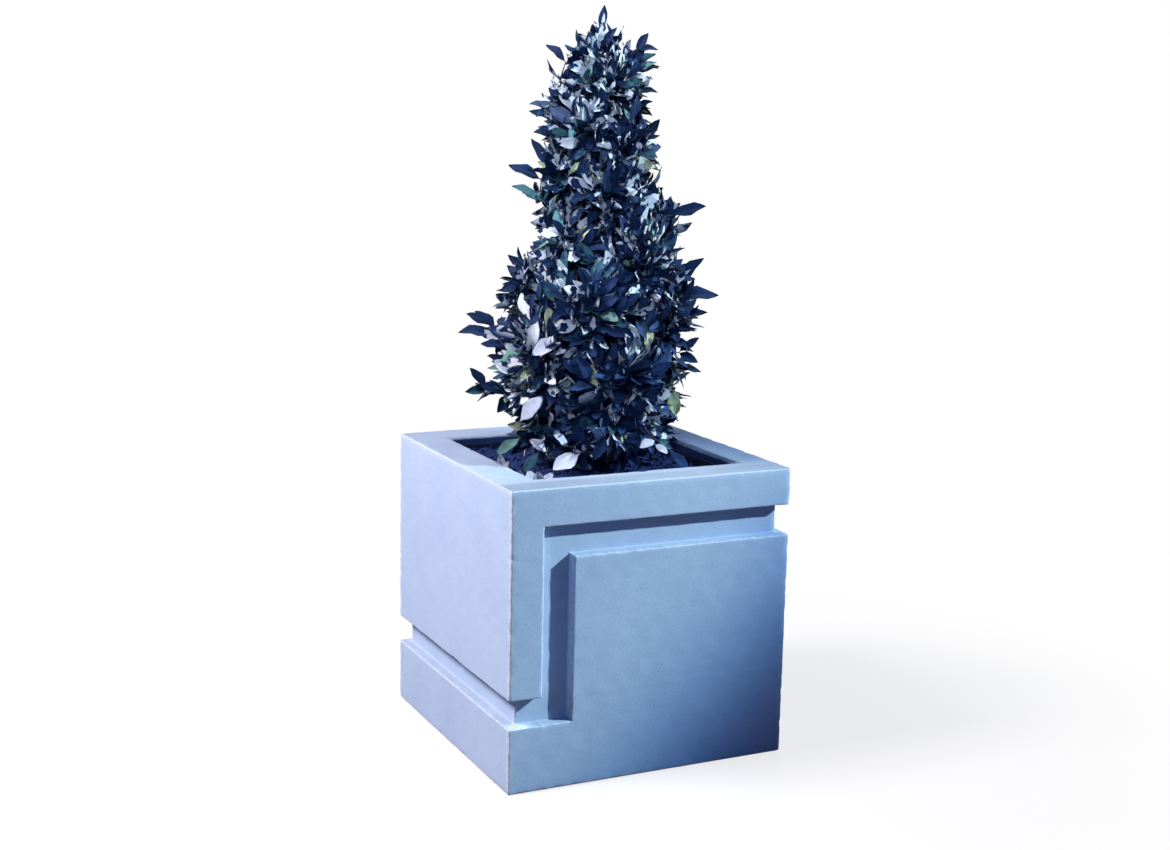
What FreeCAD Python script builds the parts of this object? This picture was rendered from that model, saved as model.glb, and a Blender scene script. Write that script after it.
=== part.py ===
import FreeCAD, Part
import math
import os
import re
import Sketcher

os.makedirs("parts", exist_ok=True)
doc = FreeCAD.newDocument("Planter")

# Driving dimensions in millimetres, and counts

sizes = {
    # Cast tub
    "planter_width": 600,
    "planter_height": 590,
    "rim_width": 78,
    "wall_draft": 10,
    "floor_thickness": 70,
    "outer_arris_radius": 4,
    "inner_arris_chamfer": 3,
    # One overrun lets every cut run clear of the faces that it opens
    "cut_overrun": 5,
    # Reveal cut into the faces, heights from the ground
    "reveal_depth": 20,
    "base_band_height": 133,
    "lower_reveal_height": 54,
    "upper_reveal_height": 60,
    "rail_height": 74,
    "stile_width": 68,
    "side_reveal_width": 62,
    # Drain in the middle of the floor
    "sleeve_outer_radius": 25,
    "sleeve_wall": 3,
    "grate_radius": 23.5,
    "grate_thickness": 4,
    "grate_clearance": 0.5,
    "grate_hole_radius": 2.2,
    "grate_hole_circle": 14,
    "grate_hole_count": 10,
    # Rubber pads under the base
    "pad_radius": 35,
    "pad_thickness": 8,
    "pad_reveal": 3,
    "pad_inset": 80,
    "pad_clearance": 0.5,
    # Plastic liner that lifts out with the planting
    "liner_clearance": 4,
    "liner_wall": 3,
    "liner_floor": 4,
    "liner_rim_drop": 18,
    "liner_foot_height": 6,
    "liner_foot_width": 20,
    "liner_foot_length": 360,
    "liner_foot_spacing": 100,
    "liner_hole_radius": 6,
    "liner_hole_spacing": 100,
    # Layers inside the liner
    "gravel_depth": 60,
    "mat_thickness": 3,
    "soil_freeboard": 7,
    # Root ball and stem
    "root_ball_depth": 300,
    "root_ball_top_radius": 150,
    "root_ball_foot_radius": 125,
    "root_ball_cover": 15,
    "root_ball_corner": 20,
    "trunk_buried_length": 60,
    "trunk_base_radius": 19,
    "trunk_tip_radius": 4,
    "trunk_flare": 9,
    "trunk_sway": 14,
    "trunk_tip_gap": 120,
    "branch_root_radius": 7,
    "branch_tip_radius": 2.5,
    "branch_embed": 4,
    # Shrub above the rim
    "shrub_gap": 10,
    "shrub_height": 865,
    "shrub_radius": 205,
    "leaf_skin": 8,
    "tuft_depth": 40,
}

sheet = doc.addObject("Spreadsheet::Sheet", "Dimensions")
for row, (alias, number) in enumerate(sizes.items(), start=1):
    sheet.set(f"A{row}", alias)
    sheet.set(f"B{row}", str(number))
    sheet.setAlias(f"B{row}", alias)
doc.recompute()

# Derived heights and half widths, as formulas of the driving dimensions
floor_top = "(pad_reveal + floor_thickness)"
cavity_depth = f"(planter_height - {floor_top})"
half_width = "(planter_width / 2)"
mouth_half = "(planter_width / 2 - rim_width)"
sleeve_bore = "(sleeve_outer_radius - sleeve_wall)"
grate_bottom = f"({floor_top} - grate_thickness)"
liner_bottom = f"({floor_top} + liner_foot_height)"
liner_floor_top = f"({liner_bottom} + liner_floor)"
liner_top = "(planter_height - liner_rim_drop)"
gravel_top = f"({liner_floor_top} + gravel_depth)"
mat_top = f"({gravel_top} + mat_thickness)"
soil_top = f"({liner_top} - soil_freeboard)"
root_ball_top = f"({soil_top} - root_ball_cover)"


def formula(text):
    """Names the sheet before every dimension in a formula."""
    return re.sub(r"[a-z]\w*", lambda word: f"Dimensions.{word[0]}" if word[0] in sizes else word[0], text)


def bind(item, prop, text):
    item.setExpression(prop, formula(text))


def cavity_half_at(height, inset):
    """Formula for the half width of the tapered cavity at a height, drawn in by an inset."""
    return f"({mouth_half} - wall_draft * (planter_height - {height}) / {cavity_depth} - {inset})"


def origin_plane(body, role):
    return next(item for item in body.Origin.OriginFeatures if item.Role == role)


def new_sketch(body, name, role, offset):
    """Empty sketch on one of the body's own planes, moved along the plane's normal."""
    sketch = body.newObject("Sketcher::SketchObject", name)
    sketch.AttachmentSupport = [(origin_plane(body, role), "")]
    sketch.MapMode = "FlatFace"
    bind(sketch, "AttachmentOffset.Base.z", offset)
    return sketch


def add_polygon(sketch, corners):
    """Closed outline whose corners are formulas; it starts as a unit polygon that the sketch then moves."""
    count = len(corners)
    start = sketch.GeometryCount
    turns = [2 * math.pi * index / count for index in range(count)]
    points = [FreeCAD.Vector(math.cos(turn), math.sin(turn), 0) for turn in turns]
    for index in range(count):
        sketch.addGeometry(Part.LineSegment(points[index], points[(index + 1) % count]), False)
    for index in range(count):
        following = start + (index + 1) % count
        sketch.addConstraint(Sketcher.Constraint("Coincident", start + index, 2, following, 1))
    for index, (across, along) in enumerate(corners):
        point = points[index]
        for kind, place, text in (("DistanceX", point.x, across), ("DistanceY", point.y, along)):
            number = sketch.addConstraint(Sketcher.Constraint(kind, -1, 1, start + index, 1, place))
            bind(sketch, f"Constraints[{number}]", text)


def add_circle(sketch, across, along, radius):
    """Circle whose centre and radius are formulas."""
    index = sketch.addGeometry(Part.Circle(FreeCAD.Vector(1, 1, 0), FreeCAD.Vector(0, 0, 1), 1), False)
    for kind, text in (("DistanceX", across), ("DistanceY", along)):
        number = sketch.addConstraint(Sketcher.Constraint(kind, -1, 1, index, 3, 1))
        bind(sketch, f"Constraints[{number}]", text)
    number = sketch.addConstraint(Sketcher.Constraint("Radius", index, 1))
    bind(sketch, f"Constraints[{number}]", radius)


def box_corners(left, right, low, high):
    return [(left, low), (right, low), (right, high), (left, high)]


def square_corners(half):
    return box_corners(f"-{half}", half, f"-{half}", half)


def square_sketch(body, name, height, half):
    sketch = new_sketch(body, name, "XY_Plane", height)
    add_polygon(sketch, square_corners(half))
    return sketch


def pad_sketch(body, name, sketch, length, downward=False):
    pad = body.newObject("PartDesign::Pad", name)
    pad.Profile = sketch
    pad.Reversed = downward
    bind(pad, "Length", length)
    return pad


def pocket_sketch(body, name, sketch, length, upward=False):
    pocket = body.newObject("PartDesign::Pocket", name)
    pocket.Profile = sketch
    pocket.Reversed = upward
    bind(pocket, "Length", length)
    return pocket


def loft_sketches(body, kind, name, first, second):
    loft = body.newObject(kind, name)
    loft.Profile = first
    loft.Sections = [second]
    loft.Ruled = True
    return loft


def tapered_block(name, low, high, inset):
    """Body that fills the tapered cavity between two heights, less an inset all round."""
    body = doc.addObject("PartDesign::Body", name)
    low_sketch = square_sketch(body, f"{name}_low_outline", low, cavity_half_at(low, inset))
    high_sketch = square_sketch(body, f"{name}_high_outline", high, cavity_half_at(high, inset))
    loft_sketches(body, "PartDesign::AdditiveLoft", f"{name}_fill", low_sketch, high_sketch)
    return body


def expect_less(feature, before):
    """A cut that removes nothing points the wrong way."""
    if feature.Shape.Volume >= before.Shape.Volume:
        raise RuntimeError(f"{feature.Name} removes nothing")


# Cast tub

shell = doc.addObject("PartDesign::Body", "planter_shell")
block_outline = square_sketch(shell, "block_outline", "pad_reveal", half_width)
block = pad_sketch(shell, "cast_block", block_outline, "planter_height - pad_reveal")
doc.recompute()

# The arrises are eased all round except under the base
underside = float(sheet.pad_reveal)
eased = [
    f"Edge{number}"
    for number, edge in enumerate(block.Shape.Edges, start=1)
    if max(vertex.Z for vertex in edge.Vertexes) > 2 * underside
]
outer_fillet = shell.newObject("PartDesign::Fillet", "outer_arrises")
outer_fillet.Base = (block, eased)
bind(outer_fillet, "Radius", "outer_arris_radius")
doc.recompute()

cavity = loft_sketches(
    shell,
    "PartDesign::SubtractiveLoft",
    "cavity",
    square_sketch(shell, "cavity_mouth", "planter_height", mouth_half),
    square_sketch(shell, "cavity_floor", floor_top, cavity_half_at(floor_top, "0")),
)
doc.recompute()
expect_less(cavity, outer_fillet)

# The mouth's arris is chamfered by a short frustum
chamfer_foot = "(planter_height - inner_arris_chamfer)"
mouth_chamfer = loft_sketches(
    shell,
    "PartDesign::SubtractiveLoft",
    "mouth_chamfer",
    square_sketch(shell, "chamfer_mouth", "planter_height", f"({mouth_half} + inner_arris_chamfer)"),
    square_sketch(shell, "chamfer_foot", chamfer_foot, cavity_half_at(chamfer_foot, "0")),
)
doc.recompute()
expect_less(mouth_chamfer, cavity)

# The reveal on the front and back faces steps up from under the stile, beside the panel, to under the rail
outside = f"({half_width} + cut_overrun)"
stile_side = f"(stile_width - {half_width})"
panel_side = f"(stile_width + side_reveal_width - {half_width})"
lower_reveal_top = "(base_band_height + lower_reveal_height)"
rail_bottom = "(planter_height - rail_height)"
panel_top = f"({rail_bottom} - upper_reveal_height)"
step_corners = [
    (f"-{outside}", "base_band_height"),
    (panel_side, "base_band_height"),
    (panel_side, panel_top),
    (outside, panel_top),
    (outside, rail_bottom),
    (stile_side, rail_bottom),
    (stile_side, lower_reveal_top),
    (f"-{outside}", lower_reveal_top),
]
front_outline = new_sketch(shell, "front_reveal_outline", "XZ_Plane", half_width)
add_polygon(front_outline, step_corners)
front_reveal = pocket_sketch(shell, "front_reveal", front_outline, "reveal_depth")
doc.recompute()
expect_less(front_reveal, mouth_chamfer)
back_outline = new_sketch(shell, "back_reveal_outline", "XZ_Plane", f"-{half_width}")
add_polygon(back_outline, step_corners)
back_reveal = pocket_sketch(shell, "back_reveal", back_outline, "reveal_depth", upward=True)
doc.recompute()
expect_less(back_reveal, front_reveal)

# Straight reveals run the full depth of the two side faces, low on the left and high on the right
reveal_face = f"({half_width} - reveal_depth)"
sides_outline = new_sketch(shell, "side_reveal_outline", "XZ_Plane", "0")
left_corners = box_corners(f"-{outside}", f"-{reveal_face}", "base_band_height", lower_reveal_top)
add_polygon(sides_outline, left_corners)
add_polygon(sides_outline, box_corners(reveal_face, outside, panel_top, rail_bottom))
side_reveals = pocket_sketch(shell, "side_reveals", sides_outline, f"2 * {outside}")
side_reveals.Midplane = True
doc.recompute()
expect_less(side_reveals, back_reveal)

# Drain hole through the floor, and recesses for the pads under the corners
drain_outline = new_sketch(shell, "drain_outline", "XY_Plane", "pad_reveal")
add_circle(drain_outline, "0", "0", "sleeve_outer_radius")
drain_hole = pocket_sketch(shell, "drain_hole", drain_outline, "floor_thickness + cut_overrun", upward=True)
doc.recompute()
expect_less(drain_hole, side_reveals)

corner_signs = [(-1, -1), (1, -1), (1, 1), (-1, 1)]
pad_place = f"({half_width} - pad_inset)"
recess_radius = "pad_radius + pad_clearance"
recess_outline = new_sketch(shell, "pad_recess_outline", "XY_Plane", "pad_reveal")
for sign_x, sign_y in corner_signs:
    add_circle(recess_outline, f"{sign_x} * {pad_place}", f"{sign_y} * {pad_place}", recess_radius)
recesses = pocket_sketch(shell, "pad_recesses", recess_outline, "pad_thickness - pad_reveal", upward=True)
doc.recompute()
expect_less(recesses, drain_hole)

# Drain sleeve: a tube with a rebate at its top for the grate

sleeve = doc.addObject("PartDesign::Body", "drain_sleeve")
sleeve_profile = new_sketch(sleeve, "sleeve_profile", "XZ_Plane", "0")
add_polygon(
    sleeve_profile,
    [
        (sleeve_bore, "pad_reveal"),
        ("sleeve_outer_radius", "pad_reveal"),
        ("sleeve_outer_radius", floor_top),
        ("grate_radius", floor_top),
        ("grate_radius", grate_bottom),
        (sleeve_bore, grate_bottom),
    ],
)
sleeve_turn = sleeve.newObject("PartDesign::Revolution", "sleeve_turn")
sleeve_turn.Profile = sleeve_profile
sleeve_turn.ReferenceAxis = (sleeve_profile, ["V_Axis"])
sleeve_turn.Angle = 360
doc.recompute()

# Drain grate: a disc with a ring of holes

grate = doc.addObject("PartDesign::Body", "drain_grate")
grate_outline = new_sketch(grate, "grate_outline", "XY_Plane", grate_bottom)
add_circle(grate_outline, "0", "0", "grate_radius - grate_clearance")
grate_disc = pad_sketch(grate, "grate_disc", grate_outline, "grate_thickness")
centre_outline = new_sketch(grate, "grate_centre_outline", "XY_Plane", floor_top)
add_circle(centre_outline, "0", "0", "grate_hole_radius")
centre_hole = pocket_sketch(grate, "grate_centre_hole", centre_outline, "grate_thickness")
hole_outline = new_sketch(grate, "grate_hole_outline", "XY_Plane", floor_top)
add_circle(hole_outline, "grate_hole_circle", "0", "grate_hole_radius")
ring_hole = pocket_sketch(grate, "grate_ring_hole", hole_outline, "grate_thickness")
doc.recompute()
expect_less(ring_hole, grate_disc)
hole_ring = grate.newObject("PartDesign::PolarPattern", "grate_hole_ring")
hole_ring.Originals = [ring_hole]
hole_ring.Axis = (hole_outline, ["N_Axis"])
hole_ring.Angle = 360
bind(hole_ring, "Occurrences", "grate_hole_count")
grate.Tip = hole_ring
doc.recompute()
expect_less(hole_ring, ring_hole)

# Rubber pads, each in its recess and proud of the underside

foot_pads = []
for number, (sign_x, sign_y) in enumerate(corner_signs, start=1):
    foot_pad = doc.addObject("Part::Cylinder", f"foot_pad_{number}")
    bind(foot_pad, "Radius", "pad_radius")
    bind(foot_pad, "Height", "pad_thickness")
    bind(foot_pad, "Placement.Base.x", f"{sign_x} * {pad_place}")
    bind(foot_pad, "Placement.Base.y", f"{sign_y} * {pad_place}")
    foot_pads.append(foot_pad)

# Liner: a thin tapered tub with bars under its floor and drain holes between them

liner = tapered_block("planting_liner", liner_bottom, liner_top, "liner_clearance")
doc.recompute()
liner_solid = liner.Tip
liner_inset = "(liner_clearance + liner_wall)"
mouth_outline = square_sketch(liner, "liner_mouth", liner_top, cavity_half_at(liner_top, liner_inset))
floor_half = cavity_half_at(liner_floor_top, liner_inset)
floor_outline = square_sketch(liner, "liner_floor_outline", liner_floor_top, floor_half)
hollow = loft_sketches(liner, "PartDesign::SubtractiveLoft", "liner_hollow", mouth_outline, floor_outline)
doc.recompute()
expect_less(hollow, liner_solid)

foot_outline = new_sketch(liner, "liner_foot_outline", "XY_Plane", liner_bottom)
foot_half_length = "(liner_foot_length / 2)"
for step in (-1.5, -0.5, 0.5, 1.5):
    left = f"({step} * liner_foot_spacing - liner_foot_width / 2)"
    right = f"({step} * liner_foot_spacing + liner_foot_width / 2)"
    add_polygon(foot_outline, box_corners(left, right, f"-{foot_half_length}", foot_half_length))
feet = pad_sketch(liner, "liner_feet", foot_outline, "liner_foot_height", downward=True)
doc.recompute()

liner_holes_outline = new_sketch(liner, "liner_hole_outline", "XY_Plane", liner_floor_top)
for step_x in (-1, 0, 1):
    for step_y in (-1, 0, 1):
        add_circle(
            liner_holes_outline,
            f"{step_x} * liner_foot_spacing",
            f"{step_y} * liner_hole_spacing",
            "liner_hole_radius",
        )
liner_holes = pocket_sketch(liner, "liner_holes", liner_holes_outline, "liner_floor")
doc.recompute()
expect_less(liner_holes, feet)

# Gravel, fleece and soil fill the liner in layers

gravel = tapered_block("gravel_bed", liner_floor_top, gravel_top, liner_inset)
mat = tapered_block("filter_mat", gravel_top, mat_top, liner_inset)
soil_block = tapered_block("soil_block", mat_top, soil_top, liner_inset)

# Root ball: a tapered round block with eased edges

ball_body = doc.addObject("PartDesign::Body", "root_ball_block")
ball_profile = new_sketch(ball_body, "root_ball_profile", "XZ_Plane", "0")
ball_bottom = f"({root_ball_top} - root_ball_depth)"
add_polygon(
    ball_profile,
    [
        ("0", ball_bottom),
        ("root_ball_foot_radius - root_ball_corner", ball_bottom),
        ("root_ball_foot_radius", f"{ball_bottom} + root_ball_corner"),
        ("root_ball_top_radius", f"{root_ball_top} - root_ball_corner"),
        ("root_ball_top_radius - root_ball_corner", root_ball_top),
        ("0", root_ball_top),
    ],
)
ball_turn = ball_body.newObject("PartDesign::Revolution", "root_ball_turn")
ball_turn.Profile = ball_profile
ball_turn.ReferenceAxis = (ball_profile, ["V_Axis"])
ball_turn.Angle = 360
doc.recompute()

# Numbers that the grown parts read from the sheet

rim_height = float(sheet.planter_height)
soil_height = rim_height - float(sheet.liner_rim_drop) - float(sheet.soil_freeboard)
ball_top_height = soil_height - float(sheet.root_ball_cover)
shrub_foot = rim_height + float(sheet.shrub_gap)
shrub_radius = float(sheet.shrub_radius)
shrub_rise = float(sheet.shrub_height)
up = FreeCAD.Vector(0, 0, 1)


def add_grown(name, shape):
    """Feature for a shape that is worked out here; it stands at the planter's origin."""
    item = doc.addObject("Part::Feature", name)
    item.Shape = shape
    item.Placement = FreeCAD.Placement()
    return item


# Stem: rings up a gently swaying line, flared at the soil and thinning to the tip

trunk_foot = ball_top_height - float(sheet.trunk_buried_length)
trunk_tip = shrub_foot + shrub_rise - float(sheet.trunk_tip_gap)


def trunk_centre(height):
    """The sway grows from nothing at the foot and turns about the upright."""
    share = (height - trunk_foot) / (trunk_tip - trunk_foot)
    sway = float(sheet.trunk_sway) * share
    turn = 2 * math.pi * share
    return FreeCAD.Vector(sway * math.sin(turn), sway * (1 - math.cos(turn)) / 2, height)


def trunk_radius(height):
    """Straight taper, with a flare that fades within the buried length above the foot."""
    share = (height - trunk_foot) / (trunk_tip - trunk_foot)
    straight = float(sheet.trunk_base_radius) * (1 - share) + float(sheet.trunk_tip_radius) * share
    rise = (height - trunk_foot) / float(sheet.trunk_buried_length)
    return straight + float(sheet.trunk_flare) / (1 + rise * rise)


trunk_ring_count = 11
trunk_rings = []
for ring in range(trunk_ring_count):
    height = trunk_foot + (trunk_tip - trunk_foot) * ring / (trunk_ring_count - 1)
    trunk_rings.append(Part.Wire(Part.makeCircle(trunk_radius(height), trunk_centre(height), up)))
trunk_shape = Part.makeLoft(trunk_rings, True, True)
trunk = add_grown("trunk", trunk_shape)

# Outline of the shrub from its foot to its tip: height, radius and lean to the right front,
# the last two as shares of the shrub's widest radius

outline_shares = [
    (0.00, 0.88, 0.02),
    (0.09, 0.92, 0.03),
    (0.185, 0.97, 0.00),
    (0.29, 0.98, 0.02),
    (0.38, 0.96, 0.10),
    (0.47, 0.84, 0.13),
    (0.53, 0.76, 0.18),
    (0.57, 0.66, 0.13),
    (0.65, 0.57, 0.05),
    (0.72, 0.52, 0.04),
    (0.785, 0.52, 0.02),
    (0.86, 0.42, 0.05),
    (0.93, 0.29, 0.05),
    (1.00, 0.06, 0.02),
]
lean_direction_shares = FreeCAD.Vector(0.9, -0.43, 0)


def outline_at(share):
    """Radius and lean at a share of the shrub's height, straight between the points of the outline."""
    for low, high in zip(outline_shares, outline_shares[1:]):
        if share <= high[0]:
            part = (share - low[0]) / (high[0] - low[0])
            return low[1] + (high[1] - low[1]) * part, low[2] + (high[2] - low[2]) * part
    return outline_shares[-1][1], outline_shares[-1][2]


# Branches leave the stem at the golden angle, rise and end inside the leaves

golden_angle = math.radians(137.5)
branch_ring_count = 4


def free_radius(share):
    """Distance from the stem to the nearest side of the outline."""
    radius_share, lean_share = outline_at(share)
    return (radius_share - lean_share) * shrub_radius


def branch_solid(number, share, reach_share, rise_share):
    """One branch: four rings from inside the stem, out and upward along a bent line."""
    height = shrub_foot + share * shrub_rise
    turn = number * golden_angle
    outward = FreeCAD.Vector(math.cos(turn), math.sin(turn), 0)
    tip_share = share + reach_share * free_radius(share) * rise_share / shrub_rise
    reach = reach_share * min(free_radius(share), free_radius(tip_share))
    start = trunk_centre(height) + outward * (trunk_radius(height) - float(sheet.branch_embed))
    rings = []
    for step in range(branch_ring_count):
        along = step / (branch_ring_count - 1)
        centre = start + outward * (reach * along) + up * (reach * rise_share * along * (1 + along) / 2)
        heading = outward + up * (rise_share * (1 + 2 * along) / 2)
        radius = float(sheet.branch_root_radius) * (1 - along) + float(sheet.branch_tip_radius) * along
        radius *= 1 - share / 2
        rings.append(Part.Wire(Part.makeCircle(radius, centre, heading)))
    return Part.makeLoft(rings, True, True).cut(trunk_shape)


# Each set: name, first number, count, height shares of its first and last branch, reach and rise shares
branch_set_shares = [
    ("lower_branches", 0, 11, 0.02, 0.34, 0.70, 0.55),
    ("middle_branches", 11, 8, 0.38, 0.62, 0.65, 0.70),
    ("upper_branches", 19, 6, 0.66, 0.83, 0.60, 0.80),
]
branches = []
for name, first, count, low_share, high_share, reach_share, rise_share in branch_set_shares:
    solids = []
    for index in range(count):
        share = low_share + (high_share - low_share) * index / (count - 1)
        solids.append(branch_solid(first + index, share, reach_share, rise_share))
    branches.append(add_grown(name, Part.makeCompound(solids)))

# Leaf masses: closed tufted rings up the shrub, cut around the stem and branches

points_per_tuft = 4
# A slow wave makes the tufts uneven: lumps round the ring, radians of drift from foot to tip, share of the depth
slow_lumps = 5
slow_drift = -14
slow_share = 0.25


def foliage_ring(share, row, tuft_count):
    """Closed curve at one height. Tufts and hollows take turns round it, and change places from row to row."""
    radius_share, lean_share = outline_at(share)
    centre = lean_direction_shares * (lean_share * shrub_radius)
    centre.z = shrub_foot + share * shrub_rise
    point_count = points_per_tuft * tuft_count
    points = []
    for index in range(point_count):
        turn = 2 * math.pi * index / point_count
        tuft = math.cos(tuft_count * turn) * math.cos(math.pi * row)
        slow = math.sin(slow_lumps * turn + slow_drift * share)
        wave = tuft * (1 - slow_share) + slow * slow_share
        inset = float(sheet.leaf_skin) + float(sheet.tuft_depth) * (1 - wave) / 2
        reach = radius_share * (shrub_radius - inset)
        points.append(centre + FreeCAD.Vector(reach * math.cos(turn), reach * math.sin(turn), 0))
    curve = Part.BSplineCurve()
    curve.interpolate(points, True)
    return Part.Wire(curve.toShape())


# Each tier: name, height shares of its foot and top, steps between its rows of tufts, and tufts round it
foliage_tier_shares = [
    ("foliage_skirt", 0.00, 0.185, 4, 12),
    ("foliage_lower", 0.185, 0.38, 4, 12),
    ("foliage_middle", 0.38, 0.57, 3, 9),
    ("foliage_upper", 0.57, 0.785, 4, 7),
    ("foliage_crown", 0.785, 1.00, 4, 5),
]
wood = [trunk_shape] + [solid for item in branches for solid in item.Shape.Solids]
foliage = []
for name, low_share, high_share, steps, tuft_count in foliage_tier_shares:
    rings = []
    for row in range(steps + 1):
        share = low_share + (high_share - low_share) * row / steps
        rings.append(foliage_ring(share, row, tuft_count))
    mass = Part.makeLoft(rings, True, False)
    inside = [solid for solid in wood if solid.BoundBox.intersect(mass.BoundBox)]
    foliage.append(add_grown(name, mass.cut(inside)))

# Root ball and soil close round what they hold

root_ball = doc.addObject("Part::Cut", "root_ball")
root_ball.Base = ball_body
root_ball.Tool = trunk
soil_round_ball = doc.addObject("Part::Cut", "soil_round_ball")
soil_round_ball.Base = soil_block
soil_round_ball.Tool = ball_body
soil = doc.addObject("Part::Cut", "potting_soil")
soil.Base = soil_round_ball
soil.Tool = trunk
doc.recompute()

# Every piece is checked, then written under its own name

tub = [shell, sleeve, grate] + foot_pads
planting = [liner, gravel, mat, soil, root_ball, trunk] + branches + foliage
for item in doc.Objects:
    if "Invalid" in item.State or "Error" in item.State:
        raise RuntimeError(f"{item.Name} failed: {item.State}")
for piece in tub + planting:
    if piece.Shape.isNull() or not piece.Shape.isValid():
        raise RuntimeError(f"{piece.Name} has no valid shape")
    piece.Label = piece.Name
    piece.Shape.exportStep(f"parts/{piece.Label}.step")
    litres = piece.Shape.Volume / 1e6
    print(f"{piece.Label}: {len(piece.Shape.Solids)} solid(s), {litres:.3f} litres")
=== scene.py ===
# Square cast concrete planter with an evergreen laurel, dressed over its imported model
import math

import bpy
import numpy as np
from mathutils import Matrix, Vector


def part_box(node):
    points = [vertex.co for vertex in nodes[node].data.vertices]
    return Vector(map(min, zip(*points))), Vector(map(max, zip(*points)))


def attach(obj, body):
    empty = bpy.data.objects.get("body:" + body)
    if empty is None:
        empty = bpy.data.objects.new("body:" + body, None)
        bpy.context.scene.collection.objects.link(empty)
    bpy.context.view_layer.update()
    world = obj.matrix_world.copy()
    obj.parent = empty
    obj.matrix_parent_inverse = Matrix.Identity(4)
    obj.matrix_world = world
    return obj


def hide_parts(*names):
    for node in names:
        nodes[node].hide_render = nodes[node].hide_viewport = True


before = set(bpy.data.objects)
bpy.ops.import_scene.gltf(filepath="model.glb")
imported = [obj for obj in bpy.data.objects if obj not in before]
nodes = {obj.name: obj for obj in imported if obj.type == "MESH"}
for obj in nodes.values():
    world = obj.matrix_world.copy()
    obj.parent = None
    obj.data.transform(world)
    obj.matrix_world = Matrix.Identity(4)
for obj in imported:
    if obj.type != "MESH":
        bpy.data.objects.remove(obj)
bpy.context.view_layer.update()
print("frame loaded,", len(nodes), "nodes")

# Small tools

upward = np.array([0.0, 0.0, 1.0])
level = np.array([1.0, 1.0, 0.0])


def linearColour(hexText):
    # sRGB hex to linear red, green, blue and alpha: p / 12.92 when dark, else ((p + 0.055) / 1.055)^2.4
    parts = [int(hexText[i:i + 2], 16) / 255 for i in (1, 3, 5)]
    return tuple(p / 12.92 if p <= 0.04045 else ((p + 0.055) / 1.055) ** 2.4 for p in parts) + (1.0,)


def setInputs(node, inputs):
    # each input is a number, a hex colour, an output to link, or a node whose first output in use is linked
    for name, value in inputs.items():
        if isinstance(value, bpy.types.Node):
            value = next(output for output in value.outputs if output.enabled)
        if isinstance(value, bpy.types.NodeSocket):
            node.id_data.links.new(value, node.inputs[name])
        else:
            node.inputs[name].default_value = linearColour(value) if isinstance(value, str) else value


def addNode(owner, kind, inputs=None, **settings):
    # one node of a material or the world, with its settings and its inputs; a colour mix takes its share
    # on input 0 and its two colours on inputs 6 and 7
    node = owner.node_tree.nodes.new("ShaderNode" + kind)
    for name, value in settings.items():
        setattr(node, name, value)
    setInputs(node, inputs or {})
    return node


def newMaterial(name, **fixed):
    # a principled surface with fixed values on its sockets, its shader and the object's coordinates
    material = bpy.data.materials.new(name)
    material.use_nodes = True
    shader = material.node_tree.nodes["Principled BSDF"]
    setInputs(shader, {socket.replace("_", " "): value for socket, value in fixed.items()})
    return material, shader, addNode(material, "TexCoord").outputs["Object"]


def finishSurface(material, shader, tone, layers, height=None, strength=0.0, depth=0.0, **options):
    # colours laid over the first one, each by its own share, and relief of this depth in metres from a height
    for share, colour in layers:
        tone = addNode(material, "Mix", {0: share, 6: tone, 7: colour}, data_type="RGBA")
    setInputs(shader, {"Base Color": tone})
    if height:
        relief = {"Height": height, "Strength": strength, "Distance": depth}
        setInputs(shader, {"Normal": addNode(material, "Bump", relief, **options)})


def unit(vectors):
    # each vector divided by its own length
    return vectors / np.maximum(np.linalg.norm(vectors, axis=-1, keepdims=True), 1e-12)


def smoothStep(low, high, value):
    # 0 below low, 1 above high, and 3t^2 - 2t^3 between them
    t = np.clip((value - low) / (high - low), 0, 1)
    return t * t * (3 - 2 * t)


def bell(distance, width):
    # 1 at no distance, falling as exp(-(distance / width)^2)
    return np.exp(-(distance / width) ** 2)


def ripple(points, size, seed, waves=14):
    # sum of sine waves in random directions with lengths near size, about -1 to 1
    rng = np.random.default_rng(seed)
    heading = unit(rng.normal(size=(waves, 3)))
    length = size * rng.uniform(0.6, 1.7, waves)
    phase = rng.uniform(0, 2 * np.pi, waves)
    turns = points @ (heading * (2 * np.pi / length)[:, None]).T + phase
    return np.sin(turns).sum(-1) / math.sqrt(waves)


def gridFaces(rows, columns, closeRows=False, closeColumns=False):
    # four-sided faces of a grid of points, where a closed side joins its last line to its first
    row, column = np.meshgrid(np.arange(rows - (not closeRows)),
                              np.arange(columns - (not closeColumns)), indexing="ij")
    nextRow, nextColumn = (row + 1) % rows, (column + 1) % columns
    corners = ((row, column), (row, nextColumn), (nextRow, nextColumn), (nextRow, column))
    return np.stack([down * columns + over for down, over in corners], -1).reshape(-1, 4)


def endFans(rings, turns):
    # triangles from each end ring of a stack to the point that closes it; the two points follow the rings
    here, lastRing = np.arange(turns), (rings - 1) * turns
    after, first = (here + 1) % turns, here * 0 + rings * turns
    return [np.stack([first, after, here], -1), np.stack([first + 1, lastRing + here, lastRing + after], -1)]


def copies(faces, count, pointCount):
    # the same groups of faces for each of count shapes with pointCount points
    offset = (np.arange(count) * pointCount)[:, None, None]
    return [(group[None] + offset).reshape(-1, group.shape[1]) for group in faces]


def addObject(name, data):
    # an object for this mesh, lamp or camera, linked to the scene
    item = bpy.data.objects.new(name, data)
    bpy.context.scene.collection.objects.link(item)
    return item


def standing(side, over, back, place):
    # the matrix of an object with these three axes at this place
    return Matrix([[side[i], over[i], back[i], place[i]] for i in range(3)] + [[0, 0, 0, 1]])


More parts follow.
